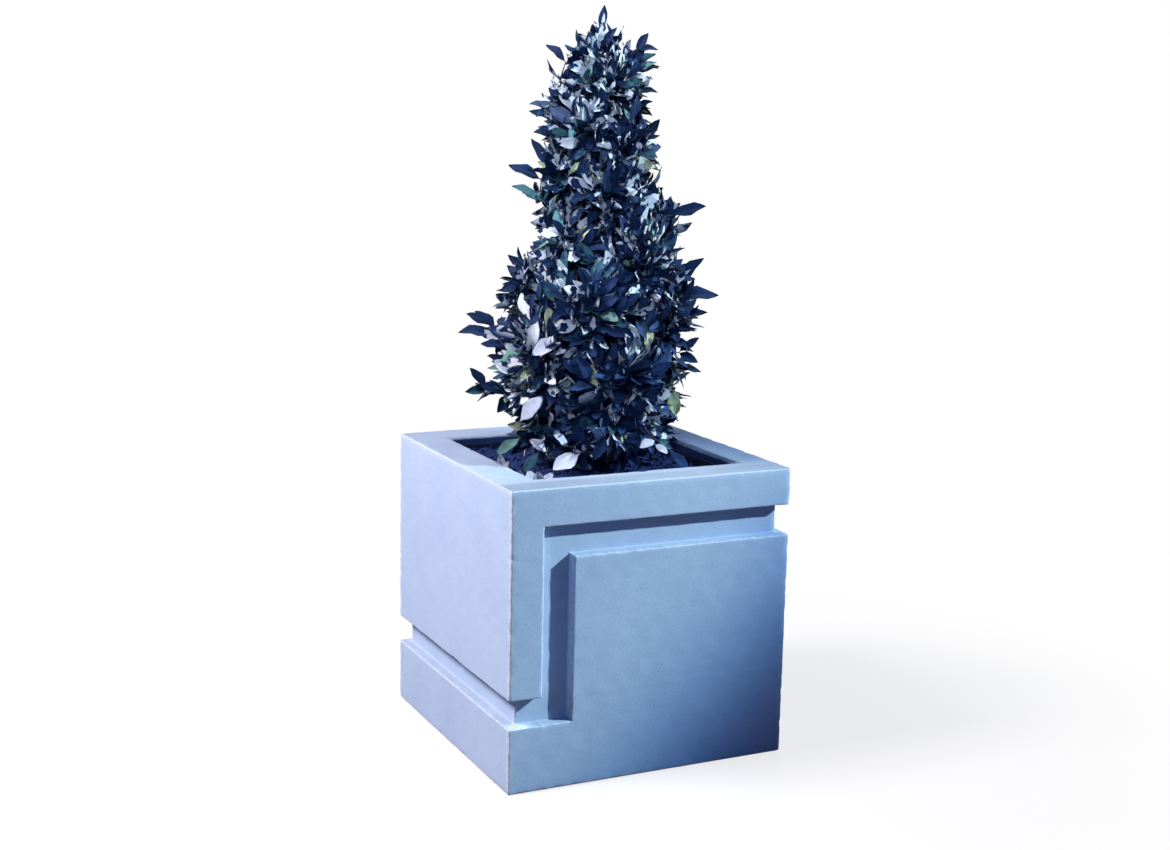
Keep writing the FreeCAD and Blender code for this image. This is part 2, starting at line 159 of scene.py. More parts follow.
def makePiece(name, points, faces, material, body):
    # smooth mesh object at the origin from an array of points and groups of faces, riding on a body
    mesh = bpy.data.meshes.new(name)
    mesh.from_pydata(points.reshape(-1, 3), [], [face for group in faces for face in group.tolist()])
    mesh.polygons.foreach_set("use_smooth", np.full(len(mesh.polygons), True))
    mesh.materials.append(material)
    piece = addObject(name, mesh)
    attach(piece, body)
    return piece


def addAttribute(piece, name, kind, values):
    # one value per vertex: a number, or a colour of four
    attribute = piece.data.attributes.new(name, kind, "POINT")
    field = "color" if kind == "FLOAT_COLOR" else "value"
    attribute.data.foreach_set(field, values.astype(np.float32).ravel())


# Camera: where the photograph was taken from, fitted to the planter's edges

camera = dict(right=(0.90027, -0.43482, 0.02122), up=(0.05997, 0.17215, 0.98324),
              back=(-0.43118, -0.88391, 0.18106), place=(-1.50017, -3.05758, 1.26857),
              lens=52.12, sensor=36)
cameraData = bpy.data.cameras.new("photoCamera")
cameraData.lens, cameraData.sensor_width = camera["lens"], camera["sensor"]
cameraObject = addObject("photoCamera", cameraData)
cameraObject.matrix_world = standing(camera["right"], camera["up"], camera["back"], camera["place"])
bpy.context.scene.camera = cameraObject
print("camera placed")

# Cast concrete: fine sand, tiny air holes and soft clouding give a matt, slightly grainy pale blue grey

concrete = dict(
    paste="#AEC4E3", cloud="#A8BEE0", grit="#8FA6CC", light="#C3D3EC", hole="#4F628C",
    edgeWearHighlight="#D2DFEE", edgeWearHighlightPatch=0.012,     # arrises are painted pale in patches about a fingertip long: rubbed wear and painted highlight
    upShadeTone="#6C7D91",                  # painted shade: what faces up is darkened
    damp="#30467C", stainPatches=45,      # soil stain and painted shade in the well; 45 a metre, so its edge wanders by about 22 mm
    stainWeight=2.4,                      # how far the stain's height outweighs that wandering
    sandGrain=0.0035,                     # real sand is 0.5 to 1 mm, drawn coarser so that it shows
    holeSpacing=0.038, holeRadius=0.022, holeRag=0.03,   # the last two as shares of the spacing
    cloudSize=0.11, holeDepth=3.0, reliefDepth=0.0006, roughness=0.88, specular=0.2)
castConcrete, shader, place = newMaterial("castConcrete", Roughness=concrete["roughness"],
                                          Specular_IOR_Level=concrete["specular"])
cloud, sand, edgeWearHighlightNoise, wander = (
    addNode(castConcrete, "TexNoise", {"Vector": place, "Scale": scale, "Detail": detail, "Roughness": rough})
    for scale, detail, rough in (
        (1 / concrete["cloudSize"], 5, 0.6), (1 / concrete["sandGrain"], 3, 0.7),
        (1 / concrete["edgeWearHighlightPatch"], 4, 0.5), (concrete["stainPatches"], 6, 0.5)))
cloudShare, gritShare, lightShare, edgeWearHighlightPatches, upShadePatches = (
    addNode(castConcrete, "MapRange", {"Value": pattern, "From Min": low, "From Max": high,
                                       "To Min": least, "To Max": most})
    for pattern, low, high, least, most in (
        (cloud, 0.35, 0.68, 0, 1), (sand, 0.52, 0.72, 0, 0.45), (sand, 0.46, 0.28, 0, 0.35),
        (edgeWearHighlightNoise, 0.40, 0.60, 0.15, 0.95), (cloud, 0.3, 0.7, 0.8, 1)))
# the hole tone is painted shade inside the air holes, whose relief is also sunk
holes = addNode(castConcrete, "TexVoronoi", {"Vector": place, "Scale": 1 / concrete["holeSpacing"]})
holeEdge = addNode(castConcrete, "Math", {0: sand, 1: concrete["holeRag"], 2: concrete["holeRadius"]},
                   operation="MULTIPLY_ADD")
holeShare = addNode(castConcrete, "MapRange", {"Value": holes, "From Min": holeEdge,
                                               "From Max": concrete["holeRadius"]})
arrisMark, upShadeMark, stainShadeMark = (addNode(castConcrete, "Attribute", attribute_name=name).outputs["Fac"]
                                  for name in ("arrisNearness", "upFacingShade", "soilStainAndShade"))
edgeWearHighlightShare, upShadeShare = (addNode(castConcrete, "Math", {0: mark, 1: patches}, operation="MULTIPLY")
                           for mark, patches in ((arrisMark, edgeWearHighlightPatches), (upShadeMark, upShadePatches)))
stainReach = addNode(castConcrete, "Math", {0: stainShadeMark, 1: concrete["stainWeight"], 2: wander},
                     operation="MULTIPLY_ADD")
stainShadeShare = addNode(castConcrete, "MapRange", {"Value": stainReach, "From Min": 1.0, "From Max": 1.7})
height = addNode(castConcrete, "Math", {0: holeShare, 1: -concrete["holeDepth"], 2: sand},
                 operation="MULTIPLY_ADD")
finishSurface(castConcrete, shader, concrete["paste"], (
    (cloudShare, concrete["cloud"]), (gritShare, concrete["grit"]), (lightShare, concrete["light"]),
    (holeShare, concrete["hole"]), (edgeWearHighlightShare, concrete["edgeWearHighlight"]), (upShadeShare, concrete["upShadeTone"]),
    (stainShadeShare, concrete["damp"])), height, 0.5, concrete["reliefDepth"])

# The tub

# One closed skin: columns go round the square with its rounded corners, and rows go from the drain hole under
# the floor, up the outer wall, over the rim, down the well and back into the hole. A reveal pushes the outer
# wall in by a share of its depth that depends on the distance inside its edge.
tub = dict(
    half=0.300, top=0.590, underside=0.003, floor=0.073, mouthHalf=0.222, mouthChamfer=0.003, wellHalf=0.212,
    holeRadius=0.0253, holeLines=(0.055, 0.038, 0.020), arris=0.004, flatCorner=0.002, innerCorner=0.003,
    # the reveal's depth, the heights of its two bands, and the sides of its upright on the front
    revealDepth=0.020, lowBand=(0.133, 0.187), highBand=(0.456, 0.516), stileEdge=-0.232, panelEdge=-0.170,
    # the mesh: its lines' spacing and their room beside an edge, the well's close and wide rows, and where
    # square rows turn round
    spacing=0.008, edgeGap=0.0065, outerLine=0.006, cornerSteps=5, cornerReach=0.045, closeTo=0.540,
    wideFrom=0.500, floorInset=0.004, underRound=(0.03, 0.20), floorRound=(0.03, 0.16), slack=0.0005,
    # the mould's own unevenness and the knocks along the arrises
    swellSize=0.14, swell=0.00022, dentSize=0.03, dent=0.00018,
    chipSize=0.018, chip=0.0009, chipFrom=0.2, chipMost=1.4, chipReach=0.0035, chipCornerReach=0.006, seed=5,
    # arrises are painted pale, as rubbed wear and painted highlight, on a line this far outside the reveal's
    # edge, and the rim's less than the others
    paleEdgeOut=0.001, paleEdgeReach=0.0016, paleEdgeRim=0.4,
    # painted shade darkens what faces up: full on the front of the rim, thinner on its left, thin on the
    # ledges
    facingUp=(0.50, 0.95), rimShade=0.78, rimFront=(0.20, 0.26), rimLess=0.14, rimLeft=(0.0, 0.2),
    ledgeShade=0.40, ledgeMore=0.12, ledgeLeft=(0.27, 0.275),
    stainShadeTo=0.574)   # the height to which the well is darkened all over by soil stain and painted shade, thinning out up to its mouth
# the reveal's section: metres inside its edge, and the share of its depth there
sectionInside = np.array([-30, -22, -14, -7, -3, 0, 6, 12, 16, 22, 30, 40]) * 1e-4
sectionDepth = np.array([0, 0.12, 0.42, 1, 1.75, 3, 10, 17.4, 18.6, 19.4, 19.85, 20]) / 20


def linesAcross(low, high, edges):
    # even lines, cleared beside each edge and given the section's own lines; an edge is (place, way inside)
    lines = np.linspace(low, high, int(round((high - low) / tub["spacing"])) + 1)
    for edge, way in edges:
        lines = lines[np.abs(lines - edge) > tub["edgeGap"]]
        beside = np.append(sectionInside, [-tub["outerLine"], tub["edgeGap"]])
        lines = np.concatenate([lines, edge + way * beside])
    return np.sort(lines)


def revealDepth(side, along, high):
    # a point's distance inside the nearest edge of the recessed bands, read on the section, times the depth
    lowFoot, lowTop, highFoot, highTop = tub["lowBand"] + tub["highBand"]
    lowBand = np.minimum(high - lowFoot, lowTop - high)
    highBand = np.minimum(high - highFoot, highTop - high)
    if side == "right":
        inside = highBand + 0 * along
    elif side == "left":
        inside = lowBand + 0 * along
    else:
        fromStile, fromPanel = along - tub["stileEdge"], tub["panelEdge"] - along
        upright = np.minimum(np.minimum(fromStile, fromPanel), np.minimum(high - lowFoot, highTop - high))
        lowTurn, highTurn = np.minimum(lowBand, fromPanel), np.minimum(highBand, fromStile)
        inside = np.maximum(np.maximum(lowTurn, highTurn), upright)
    return np.interp(inside, sectionInside, sectionDepth) * tub["revealDepth"], inside


def skinRows(half, height, corner=tub["flatCorner"], circle=0.0, outer=0.0):
    # each row: half size, height, corner radius, share of a circle, 1 on the outer wall
    return np.stack(np.broadcast_arrays(half, height, corner, circle, outer), -1)


arris, halfSide, topHeight, underside = (tub[name] for name in ("arris", "half", "top", "underside"))
straight = halfSide - arris
quarter = np.linspace(0, np.pi / 2, 6)
wallLines = linesAcross(underside + arris, topHeight - arris,
                        [(edge, way) for band in (tub["lowBand"], tub["highBand"])
                         for edge, way in zip(band, (1, -1))])
wellLines = np.concatenate([np.linspace(topHeight - tub["mouthChamfer"], tub["closeTo"], 8),
                            np.linspace(tub["wideFrom"], tub["floor"], 13)])
wellShare = (topHeight - wellLines) / (topHeight - tub["floor"])
underHalf = np.geomspace(tub["holeRadius"], straight, 15)
floorHalf = np.geomspace(tub["wellHalf"] - tub["floorInset"], tub["holeRadius"], 13)
profile = np.concatenate([
    skinRows(underHalf, underside, circle=1 - smoothStep(*tub["underRound"], underHalf))[:-1],
    skinRows(straight + arris * np.sin(quarter), underside + arris * (1 - np.cos(quarter)),
             arris * (0.5 + 0.5 * np.sin(quarter)))[:-1],
    skinRows(halfSide, wallLines, arris, outer=1.0),
    skinRows(straight + arris * np.cos(quarter), topHeight - arris + arris * np.sin(quarter),
             arris * (0.5 + 0.5 * np.cos(quarter)))[1:],
    skinRows(np.linspace(straight, tub["mouthHalf"] + tub["mouthChamfer"], 11)[1:], topHeight),
    skinRows(tub["mouthHalf"] + (tub["wellHalf"] - tub["mouthHalf"]) * wellShare, wellLines,
             tub["innerCorner"]),
    skinRows(floorHalf, tub["floor"], circle=1 - smoothStep(*tub["floorRound"], floorHalf)),
    skinRows(tub["holeRadius"], np.array(tub["holeLines"]), circle=1.0),
])
rowHalf, rowHeight, rowCorner, rowRound, rowOuter = (profile[:, i][:, None] for i in range(5))
outward = np.array([(0, -1), (1, 0), (0, 1), (-1, 0)], float)
leftDepth, rightDepth = (revealDepth(side, 0, rowHeight)[0] * rowOuter for side in ("left", "right"))
columns, insides = [], []
for number, side in enumerate(("front", "right", "back", "left")):
    normal, nextNormal = outward[number], outward[(number + 1) % 4]
    edges = [(tub["stileEdge"], 1), (tub["panelEdge"], -1)] if side in ("front", "back") else []
    position = linesAcross(-straight, straight, edges)   # along x on the front and back, else along y
    if side in ("back", "left"):
        position = position[::-1]
    ahead = position * (1 if side in ("front", "right") else -1)   # the same, along the way round
    depth, inside = revealDepth(side, position, rowHeight)
    depth, inside = depth * rowOuter, np.where(rowOuter > 0, inside, -1.0)
    # at each end the neighbour's recess draws the column in, so the recessed corner stays square
    startDepth = leftDepth if side in ("front", "left") else rightDepth
    endDepth = leftDepth if side in ("back", "left") else rightDepth
    reach = tub["cornerReach"]
    shift = (startDepth * np.clip((reach - (ahead + straight)) / reach, 0, 1)
             - endDepth * np.clip((reach - (straight - ahead)) / reach, 0, 1))
    along = ahead * (rowHalf - rowCorner) / straight + shift
    columns.append(normal * (rowHalf - depth)[..., None] + nextNormal * along[..., None])
    turn = (np.arange(1, tub["cornerSteps"]) / tub["cornerSteps"] * np.pi / 2)[:, None]
    centre = (normal + nextNormal) * (rowHalf - rowCorner - endDepth)[..., None]
    columns.append(centre + (normal * np.cos(turn) + nextNormal * np.sin(turn)) * rowCorner[..., None])
    insides += [inside, np.full((len(profile), len(turn)), -1.0)]
outline, insideAll = np.concatenate(columns, 1), np.concatenate(insides, 1)
angle = np.arctan2(outline[..., 1], outline[..., 0])
circle = np.stack([np.cos(angle), np.sin(angle)], -1) * rowHalf[..., None]
outline = outline * (1 - rowRound[..., None]) + circle * rowRound[..., None]
rowCount, columnCount = outline.shape[:2]
tubPoints = np.concatenate([outline, np.broadcast_to(rowHeight[..., None], (rowCount, columnCount, 1))], -1)
# normals from the differences to the neighbours both ways round
alongRow = np.roll(tubPoints, -1, 1) - np.roll(tubPoints, 1, 1)
alongColumn = np.roll(tubPoints, -1, 0) - np.roll(tubPoints, 1, 0)
tubNormals = unit(np.cross(alongRow, alongColumn))
edgeNearness = bell(insideAll, tub["chipReach"]) * (rowOuter > 0)
diagonal = np.abs(outline).max(-1) - np.abs(outline).min(-1)   # 0 on the line through two corners
cornerNearness = bell(diagonal, tub["chipCornerReach"]) * (rowOuter > 0)
rowNearness = sum(bell(np.hypot(rowHeight - high, rowHalf - half), tub["chipCornerReach"])
                  for high, half in ((topHeight, halfSide), (underside, halfSide),
                                     (topHeight, tub["mouthHalf"])))
nearness = np.clip(edgeNearness + cornerNearness + rowNearness, 0, 1)
uneven = (ripple(tubPoints, tub["swellSize"], tub["seed"]) * tub["swell"]
          + ripple(tubPoints, tub["dentSize"], tub["seed"] + 1) * tub["dent"])
knocks = ripple(tubPoints, tub["chipSize"], tub["seed"] + 2)
chipped = np.clip(knocks - tub["chipFrom"], 0, tub["chipMost"]) * tub["chip"] * nearness
stayTrue = (rowHeight < underside + tub["slack"]) | (rowRound > 0)   # the underside and the round parts
tubPoints = tubPoints + tubNormals * np.where(stayTrue, 0.0, uneven - chipped)[..., None]
castTub = makePiece("castTub", tubPoints, [gridFaces(rowCount, columnCount, True, True)], castConcrete,
                    "tub")
# a pale line along the arrises: rubbed wear and painted highlight
paleEdgeLine = bell(insideAll + tub["paleEdgeOut"], tub["paleEdgeReach"]) * (rowOuter > 0)
addAttribute(castTub, "arrisNearness", "FLOAT",
             np.clip(paleEdgeLine + cornerNearness + tub["paleEdgeRim"] * rowNearness, 0, 1))
# painted shade on what faces up, by height the rim's amount or the ledges'
facingUp = smoothStep(*tub["facingUp"], tubNormals[..., 2])
toLeft, toFront = -tubPoints[..., 0], -tubPoints[..., 1]
rimShade = tub["rimShade"] - tub["rimLess"] * smoothStep(*tub["rimLeft"], toLeft)
rimShade = np.maximum(rimShade, smoothStep(*tub["rimFront"], toFront))
ledgeShade = tub["ledgeShade"] + tub["ledgeMore"] * smoothStep(*tub["ledgeLeft"], toLeft)
addAttribute(castTub, "upFacingShade", "FLOAT",
             facingUp * np.where(rowHeight > topHeight - arris, rimShade, ledgeShade))
# soil stain and painted shade inside the well
inWell = (rowHalf < tub["mouthHalf"] + tub["slack"]) & (rowHeight > tub["floor"] - tub["slack"])
stainedShaded = np.where(inWell, 1 - smoothStep(tub["stainShadeTo"], topHeight, rowHeight), 0.0)
addAttribute(castTub, "soilStainAndShade", "FLOAT", np.repeat(stainedShaded, columnCount, 1))
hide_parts("planter_shell")
print("tub made,", len(castTub.data.polygons), "faces")

# Potting compost: dark peat with fibres and crumbs, damp, so it is almost black with blue grey flecks

compost = dict(peat="#1C3060", damp="#131F48", fleck="#2A3E70", fibre="#364A7A",
               crumb=0.006, fibreLines=160, clumps=22,   # a metre, so fibres of 6 mm and clumps of 45 mm
               reliefDepth=0.003)
pottingCompost, shader, place = newMaterial("pottingCompost", Roughness=0.95, Specular_IOR_Level=0.1)
crumbs = addNode(pottingCompost, "TexVoronoi", {"Vector": place, "Scale": 1 / compost["crumb"]})
fibres = addNode(pottingCompost, "TexNoise", {"Vector": place, "Scale": compost["fibreLines"], "Detail": 6,
                                              "Distortion": 1.2})
clumps = addNode(pottingCompost, "TexNoise", {"Vector": place, "Scale": compost["clumps"], "Detail": 4})
fleckShare = addNode(pottingCompost, "MapRange", {"Value": fibres, "From Min": 0.56, "From Max": 0.72})
fleckTone = addNode(pottingCompost, "Mix", {0: crumbs.outputs["Color"], 6: compost["fleck"],
                                            7: compost["fibre"]}, data_type="RGBA")
finishSurface(pottingCompost, shader, compost["peat"], ((clumps, compost["damp"]), (fleckShare, fleckTone)),
              crumbs, 0.8, compost["reliefDepth"])


def closedBlock(halves, heights, rounds, count):
    # rings of a square block from its lower middle out and up to its upper middle, closed by a fan at each
    # end; each ring is part square and part circle, taken at the same angles
    turn = 2 * np.pi * np.arange(count) / count
    circle = np.stack([np.cos(turn), np.sin(turn)], -1)
    square = circle / np.abs(circle).max(-1, keepdims=True)
    halves, heights, rounds = (values[:, None, None] for values in (halves, heights, rounds))
    ring = (square * (1 - rounds) + circle * rounds) * halves
    points = np.concatenate([ring, np.broadcast_to(heights, (len(halves), count, 1))], -1).reshape(-1, 3)
    points = np.concatenate([points, upward * heights[[0, -1], 0]])
    return points, [gridFaces(len(halves), count, False, True)] + endFans(len(halves), count)


soil = dict(level=0.5625, gap=0.0012, taper=0.010, shoulder=0.004, rings=70, turns=288,
            middle=(0.02, 0.004), roundTo=(0.02, 0.15),   # innermost rings, and where rings turn square
            mound=0.006, moundReach=0.06,       # higher round the stem
            edgeSink=0.004, edgeReach=0.02,     # and lower along the wall
            clod=0.0034, clodSize=0.035, grit=0.0013, gritSize=0.011, seed=21)
soilLow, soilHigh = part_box("potting_soil")
topHalf, footHalf = soilHigh[0] - soil["gap"], soilHigh[0] - soil["taper"]
halves = np.concatenate([np.linspace(soil["middle"][0], footHalf, 6), np.linspace(footHalf, topHalf, 10),
                         np.linspace(topHalf, soil["middle"][1], soil["rings"])[1:]])
heights = np.concatenate([np.full(6, soilLow[2]),
                          np.linspace(soilLow[2], soil["level"] - soil["shoulder"], 10),
                          np.full(soil["rings"] - 1, soil["level"])])
soilPoints, soilFaces = closedBlock(halves, heights, 1 - smoothStep(*soil["roundTo"], halves), soil["turns"])
onTop = (soilPoints[:, 2] > soil["level"] - 2 * soil["shoulder"]).astype(float)
fromEdge = topHalf - np.abs(soilPoints[:, :2]).max(-1)
mound = soil["mound"] * bell(np.linalg.norm(soilPoints[:, :2], axis=-1), soil["moundReach"])
lumps = (np.abs(ripple(soilPoints, soil["clodSize"], soil["seed"])) * soil["clod"]
         + ripple(soilPoints, soil["gritSize"], soil["seed"] + 1) * soil["grit"])
soilPoints[:, 2] += onTop * (lumps + mound - soil["edgeSink"] * np.exp(-fromEdge / soil["edgeReach"]))
soilSurface = makePiece("soilSurface", soilPoints, soilFaces, pottingCompost, "planting")
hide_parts("potting_soil")

crumb = dict(count=900, smallest=0.0018, largest=0.0062, shape=(1.25, 1.0, 0.7), shake=(0.72, 1.12),
             flat=1.6, fromWall=0.006, lift=0.0022, rings=5, turns=7, seed=31)


def pebbles(centres, sizes, rng, rings, turns):
    # small stones: spheres (sin rise cos around, sin rise sin around, cos rise) with each point's radius
    # shaken, stretched to the stone's shape and tilted
    rise = (np.pi * np.arange(1, rings + 1) / (rings + 1))[:, None]
    around = 2 * np.pi * np.arange(turns) / turns
    shell = np.stack([np.sin(rise) * np.cos(around), np.sin(rise) * np.sin(around),
                      np.cos(rise) + 0 * around], -1).reshape(-1, 3)
    shell = np.concatenate([shell, [upward, -upward]])
    shaken = shell * rng.uniform(*crumb["shake"], (len(centres), len(shell), 1))
    shaken = shaken * (sizes[:, None] * np.array(crumb["shape"]))[:, None]
    tilt = unit(rng.normal(size=centres.shape) + upward * crumb["flat"])
    aside = unit(np.cross(tilt, rng.normal(size=centres.shape)))
    axes = np.stack([aside, np.cross(tilt, aside), tilt], 1)
    one = [group[:, ::-1] for group in [gridFaces(rings, turns, False, True)] + endFans(rings, turns)]
    return centres[:, None] + shaken @ axes, copies(one, len(centres), len(shell))


rng = np.random.default_rng(crumb["seed"])
crumbReach = topHalf - crumb["fromWall"]
crumbPlace = rng.uniform(-crumbReach, crumbReach, (crumb["count"], 2))
crumbSize = (crumb["smallest"]
             + (crumb["largest"] - crumb["smallest"]) * rng.uniform(0, 1, crumb["count"]) ** 3)
crumbCentre = np.insert(crumbPlace, 2, soil["level"] + crumb["lift"], 1)
crumbPoints, crumbFaces = pebbles(crumbCentre, crumbSize, np.random.default_rng(crumb["seed"]),
                                  crumb["rings"], crumb["turns"])
makePiece("soilCrumbs", crumbPoints, crumbFaces, pottingCompost, "planting")
print("soil made")

# Root ball: peat held by fine pale roots, seen only when the planting is lifted and opened

roots = dict(peat="#2A2A33", root="#8C8577", reliefDepth=0.002,
             meshes=55)   # a metre, so a net of about 18 mm
rootedPeat, shader, place = newMaterial("rootedPeat", Roughness=0.95, Specular_IOR_Level=0.1)
threads = addNode(rootedPeat, "TexVoronoi", {"Vector": place, "Scale": roots["meshes"]},
                  feature="DISTANCE_TO_EDGE")
threadShare = addNode(rootedPeat, "MapRange", {"Value": threads, "From Min": 0.09, "From Max": 0.02})
finishSurface(rootedPeat, shader, roots["peat"], [(threadShare, roots["root"])],
              threadShare, 0.6, roots["reliefDepth"])
ball = dict(foot=0.125, widening=0.023, footRound=(0.012, 0.04), topRound=(0.014, 0.05), middle=0.01,
            lump=0.0022, lumpSize=0.03, sideRings=26, endRings=5, turns=72, seed=41)
ballLow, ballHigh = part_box("root_ball")
ballLine = np.linspace(0, 1, ball["sideRings"])
ballHeights = np.concatenate([np.full(ball["endRings"], ballLow[2]),
                              ballLow[2] + (ballHigh[2] - ballLow[2]) * ballLine,
                              np.full(ball["endRings"], ballHigh[2])])
ballSide = (ball["foot"] + ball["widening"] * ballLine
            - ball["footRound"][0] * np.exp(-ballLine / ball["footRound"][1])
            - ball["topRound"][0] * np.exp(-(1 - ballLine) / ball["topRound"][1]))
ballHalves = np.concatenate([np.linspace(ball["middle"], ballSide[0], ball["endRings"] + 1)[:-1], ballSide,
                             np.linspace(ballSide[-1], ball["middle"], ball["endRings"] + 1)[1:]])
ballPoints, ballFaces = closedBlock(ballHalves, ballHeights, np.ones(len(ballHalves)), ball["turns"])
outwards = unit(ballPoints - upward * (ballLow[2] + ballHigh[2]) / 2)
ballPoints += outwards * (ripple(ballPoints, ball["lumpSize"], ball["seed"]) * ball["lump"])[:, None]
rootMass = makePiece("rootMass", ballPoints, ballFaces, rootedPeat, "planting")
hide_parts("root_ball")

# Plain finishes of the parts inside

# A noise between two tones, and its relief or a finer noise's. Scales are patterns a metre, so 900 is about
# 1 mm, 420 is 2 mm, 120 is 8 mm and 35 is 29 mm.
plainFinishes = dict(
    # felted white-grey fibres, really 0.02 mm thick, drawn coarser so that they show
    geotextileFleece=dict(tones=("#8C93A3", "#A9AFBD"), pattern=dict(Scale=420, Detail=5, Distortion=2),
                          surface=dict(Roughness=0.95, Specular_IOR_Level=0.1, Sheen_Weight=0.2),
                          relief=(0.5, 0.0005), parts=[]),
    # moulded, faintly orange-peeled, with a soft gloss and pale scuffs
    mouldedPolypropylene=dict(tones=("#12182E", "#232B47"), pattern=dict(Scale=35, Detail=8, Roughness=0.7),
                              surface=dict(Roughness=0.5, Specular_IOR_Level=0.3),
                              fine=dict(Scale=500, Detail=2), relief=(0.2, 0.0003),
                              parts=["planting_liner", "drain_grate"]),
    # extruded vinyl pipe, smooth mid grey with fine lengthwise draw lines
    extrudedPvc=dict(tones=("#5C6474", "#717A8B"), pattern=dict(Scale=900, Detail=2), stretch=0.05,
                     surface=dict(Roughness=0.4, Specular_IOR_Level=0.4), parts=["drain_sleeve"]),
    # moulded, matt black with a dusty bloom
    mouldedRubber=dict(tones=("#14161D", "#33363F"), pattern=dict(Scale=120, Detail=6),
                       surface=dict(Roughness=0.8, Specular_IOR_Level=0.25), relief=(0.3, 0.0004),
                       parts=["foot_pad_1", "foot_pad_2", "foot_pad_3", "foot_pad_4"]))


def dressNodes(material, nodeNames):
    # this material on every slot of these nodes of the frame
    for nodeName in nodeNames:
        for materialSlot in nodes[nodeName].material_slots:
            materialSlot.material = material


for name, finish in plainFinishes.items():
    material, shader, place = newMaterial(name, **finish["surface"])
    place = addNode(material, "Mapping", {"Vector": place, "Scale": (1, 1, finish.get("stretch", 1))})
    pattern = addNode(material, "TexNoise", {"Vector": place, **finish["pattern"]})
    fine = pattern if "relief" in finish else None
    if "fine" in finish:
        fine = addNode(material, "TexNoise", {"Vector": place, **finish["fine"]})
    finishSurface(material, shader, finish["tones"][0], [(pattern, finish["tones"][1])],
                  fine, *finish.get("relief", ()))
    dressNodes(material, finish["parts"])

# Washed gravel: rounded stones of 8 to 16 mm, each its own grey

# the dark gap tone is painted shade between the stones
gravel = dict(dark="#6B7280", pale="#B3B7BF", gap="#22252E", stones=80, reliefDepth=0.006)   # 12.5 mm apart
washedGravel, shader, place = newMaterial("washedGravel", Roughness=0.75, Specular_IOR_Level=0.3)
stones = addNode(washedGravel, "TexVoronoi", {"Vector": place, "Scale": gravel["stones"]})
stoneShare = addNode(washedGravel, "SeparateColor", {0: stones.outputs["Color"]})
gapShadeShare = addNode(washedGravel, "MapRange", {"Value": stones, "From Min": 0.45, "From Max": 0.7})
finishSurface(washedGravel, shader, gravel["dark"], [(stoneShare, gravel["pale"]), (gapShadeShare, gravel["gap"])],
              stones, 1.0, gravel["reliefDepth"], invert=True)
dressNodes(washedGravel, ("gravel_bed",))

# Fleece mat, laid flat between the gravel and the compost

fleece = dict(gap=0.0006, lift=0.0004, thickness=0.0022, wave=0.0003, waveSize=0.09,
              middle=0.01, roundTo=(0.02, 0.12), rings=18, turns=96, seed=51)
matLow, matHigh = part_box("filter_mat")
matHalf = matHigh[0] - fleece["gap"]
matHalves = np.linspace(fleece["middle"], matHalf, fleece["rings"])
matHeight = matLow[2] + fleece["lift"] + np.array([0, fleece["thickness"]])
matHalves = np.concatenate([matHalves, matHalves[::-1]])
matPoints, matFaces = closedBlock(matHalves, np.repeat(matHeight, fleece["rings"]),
                                  1 - smoothStep(*fleece["roundTo"], matHalves), fleece["turns"])
matPoints[:, 2] += ripple(matPoints * level, fleece["waveSize"], fleece["seed"]) * fleece["wave"]
fleeceMat = makePiece("fleeceMat", matPoints, matFaces, bpy.data.materials["geotextileFleece"],
                      "planting")
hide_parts("filter_mat")
print("root ball, fleece and inner parts made")

# Laurel leaf: leathery, with a waxed upper face that shines softly, a pale midrib and faint side veins

# Tones come from each leaf's own colours, because young leaves differ; the pale and white tones are painted
# sunlight, and the navy ones partly painted shade.
leafLook = dict(roughness=0.5, specular=0.17, wax="#6C98FF",
                veinLight="#8FA0C8", veinShare=0.06, sideVeins=9, veinLean=14, veinRelief=0.25,
                cloud=0.16, clouds=90,            # a metre, so tone drifts over about 11 mm
                dapple=0.021, shade="#122242",    # spots of sun about 20 mm across, and the shade between
                reliefDepth=0.0008)
laurelLeaf, shader, place = newMaterial(
    "laurelLeaf", Roughness=leafLook["roughness"], Specular_IOR_Level=leafLook["specular"],
    Specular_Tint=leafLook["wax"])
blade = addNode(laurelLeaf, "SeparateXYZ", {0: addNode(laurelLeaf, "UVMap", uv_map="blade")}).outputs
fromRib = addNode(laurelLeaf, "Math", {0: blade["X"], 1: 0.5}, operation="SUBTRACT")
ribSide = addNode(laurelLeaf, "Math", {0: fromRib}, operation="ABSOLUTE")
ribShare = addNode(laurelLeaf, "MapRange", {"Value": ribSide, "From Min": 0.06, "From Max": 0.015,
                                            "To Max": leafLook["veinShare"]})
# side veins: sin(6.28 x veins x place along the rib - lean x distance from it)
veinPhase = addNode(laurelLeaf, "Math", {0: blade["Y"], 1: leafLook["sideVeins"] * 6.28},
                    operation="MULTIPLY")
veinLean = addNode(laurelLeaf, "Math", {0: ribSide, 1: -leafLook["veinLean"], 2: veinPhase},
                   operation="MULTIPLY_ADD")
veinWave = addNode(laurelLeaf, "Math", {0: veinLean}, operation="SINE")
leafCloud = addNode(laurelLeaf, "TexNoise", {"Vector": place, "Scale": leafLook["clouds"], "Detail": 3})
cloudTone = addNode(laurelLeaf, "MapRange", {
    "Value": leafCloud, "From Min": 0.3, "From Max": 0.7,
    "To Min": 1 - leafLook["cloud"], "To Max": 1 + leafLook["cloud"]})
leafTone = addNode(laurelLeaf, "Attribute", attribute_name="leafTone").outputs["Color"]
tone = addNode(laurelLeaf, "VectorMath", {0: leafTone, 1: cloudTone}, operation="MULTIPLY")
spots = addNode(laurelLeaf, "TexNoise", {"Vector": place, "Scale": 1 / leafLook["dapple"], "Detail": 1})
spotShare = addNode(laurelLeaf, "MapRange", {"Value": spots, "From Min": 0.49, "From Max": 0.46})
dapple = addNode(laurelLeaf, "Attribute", attribute_name="leafDapple").outputs["Fac"]
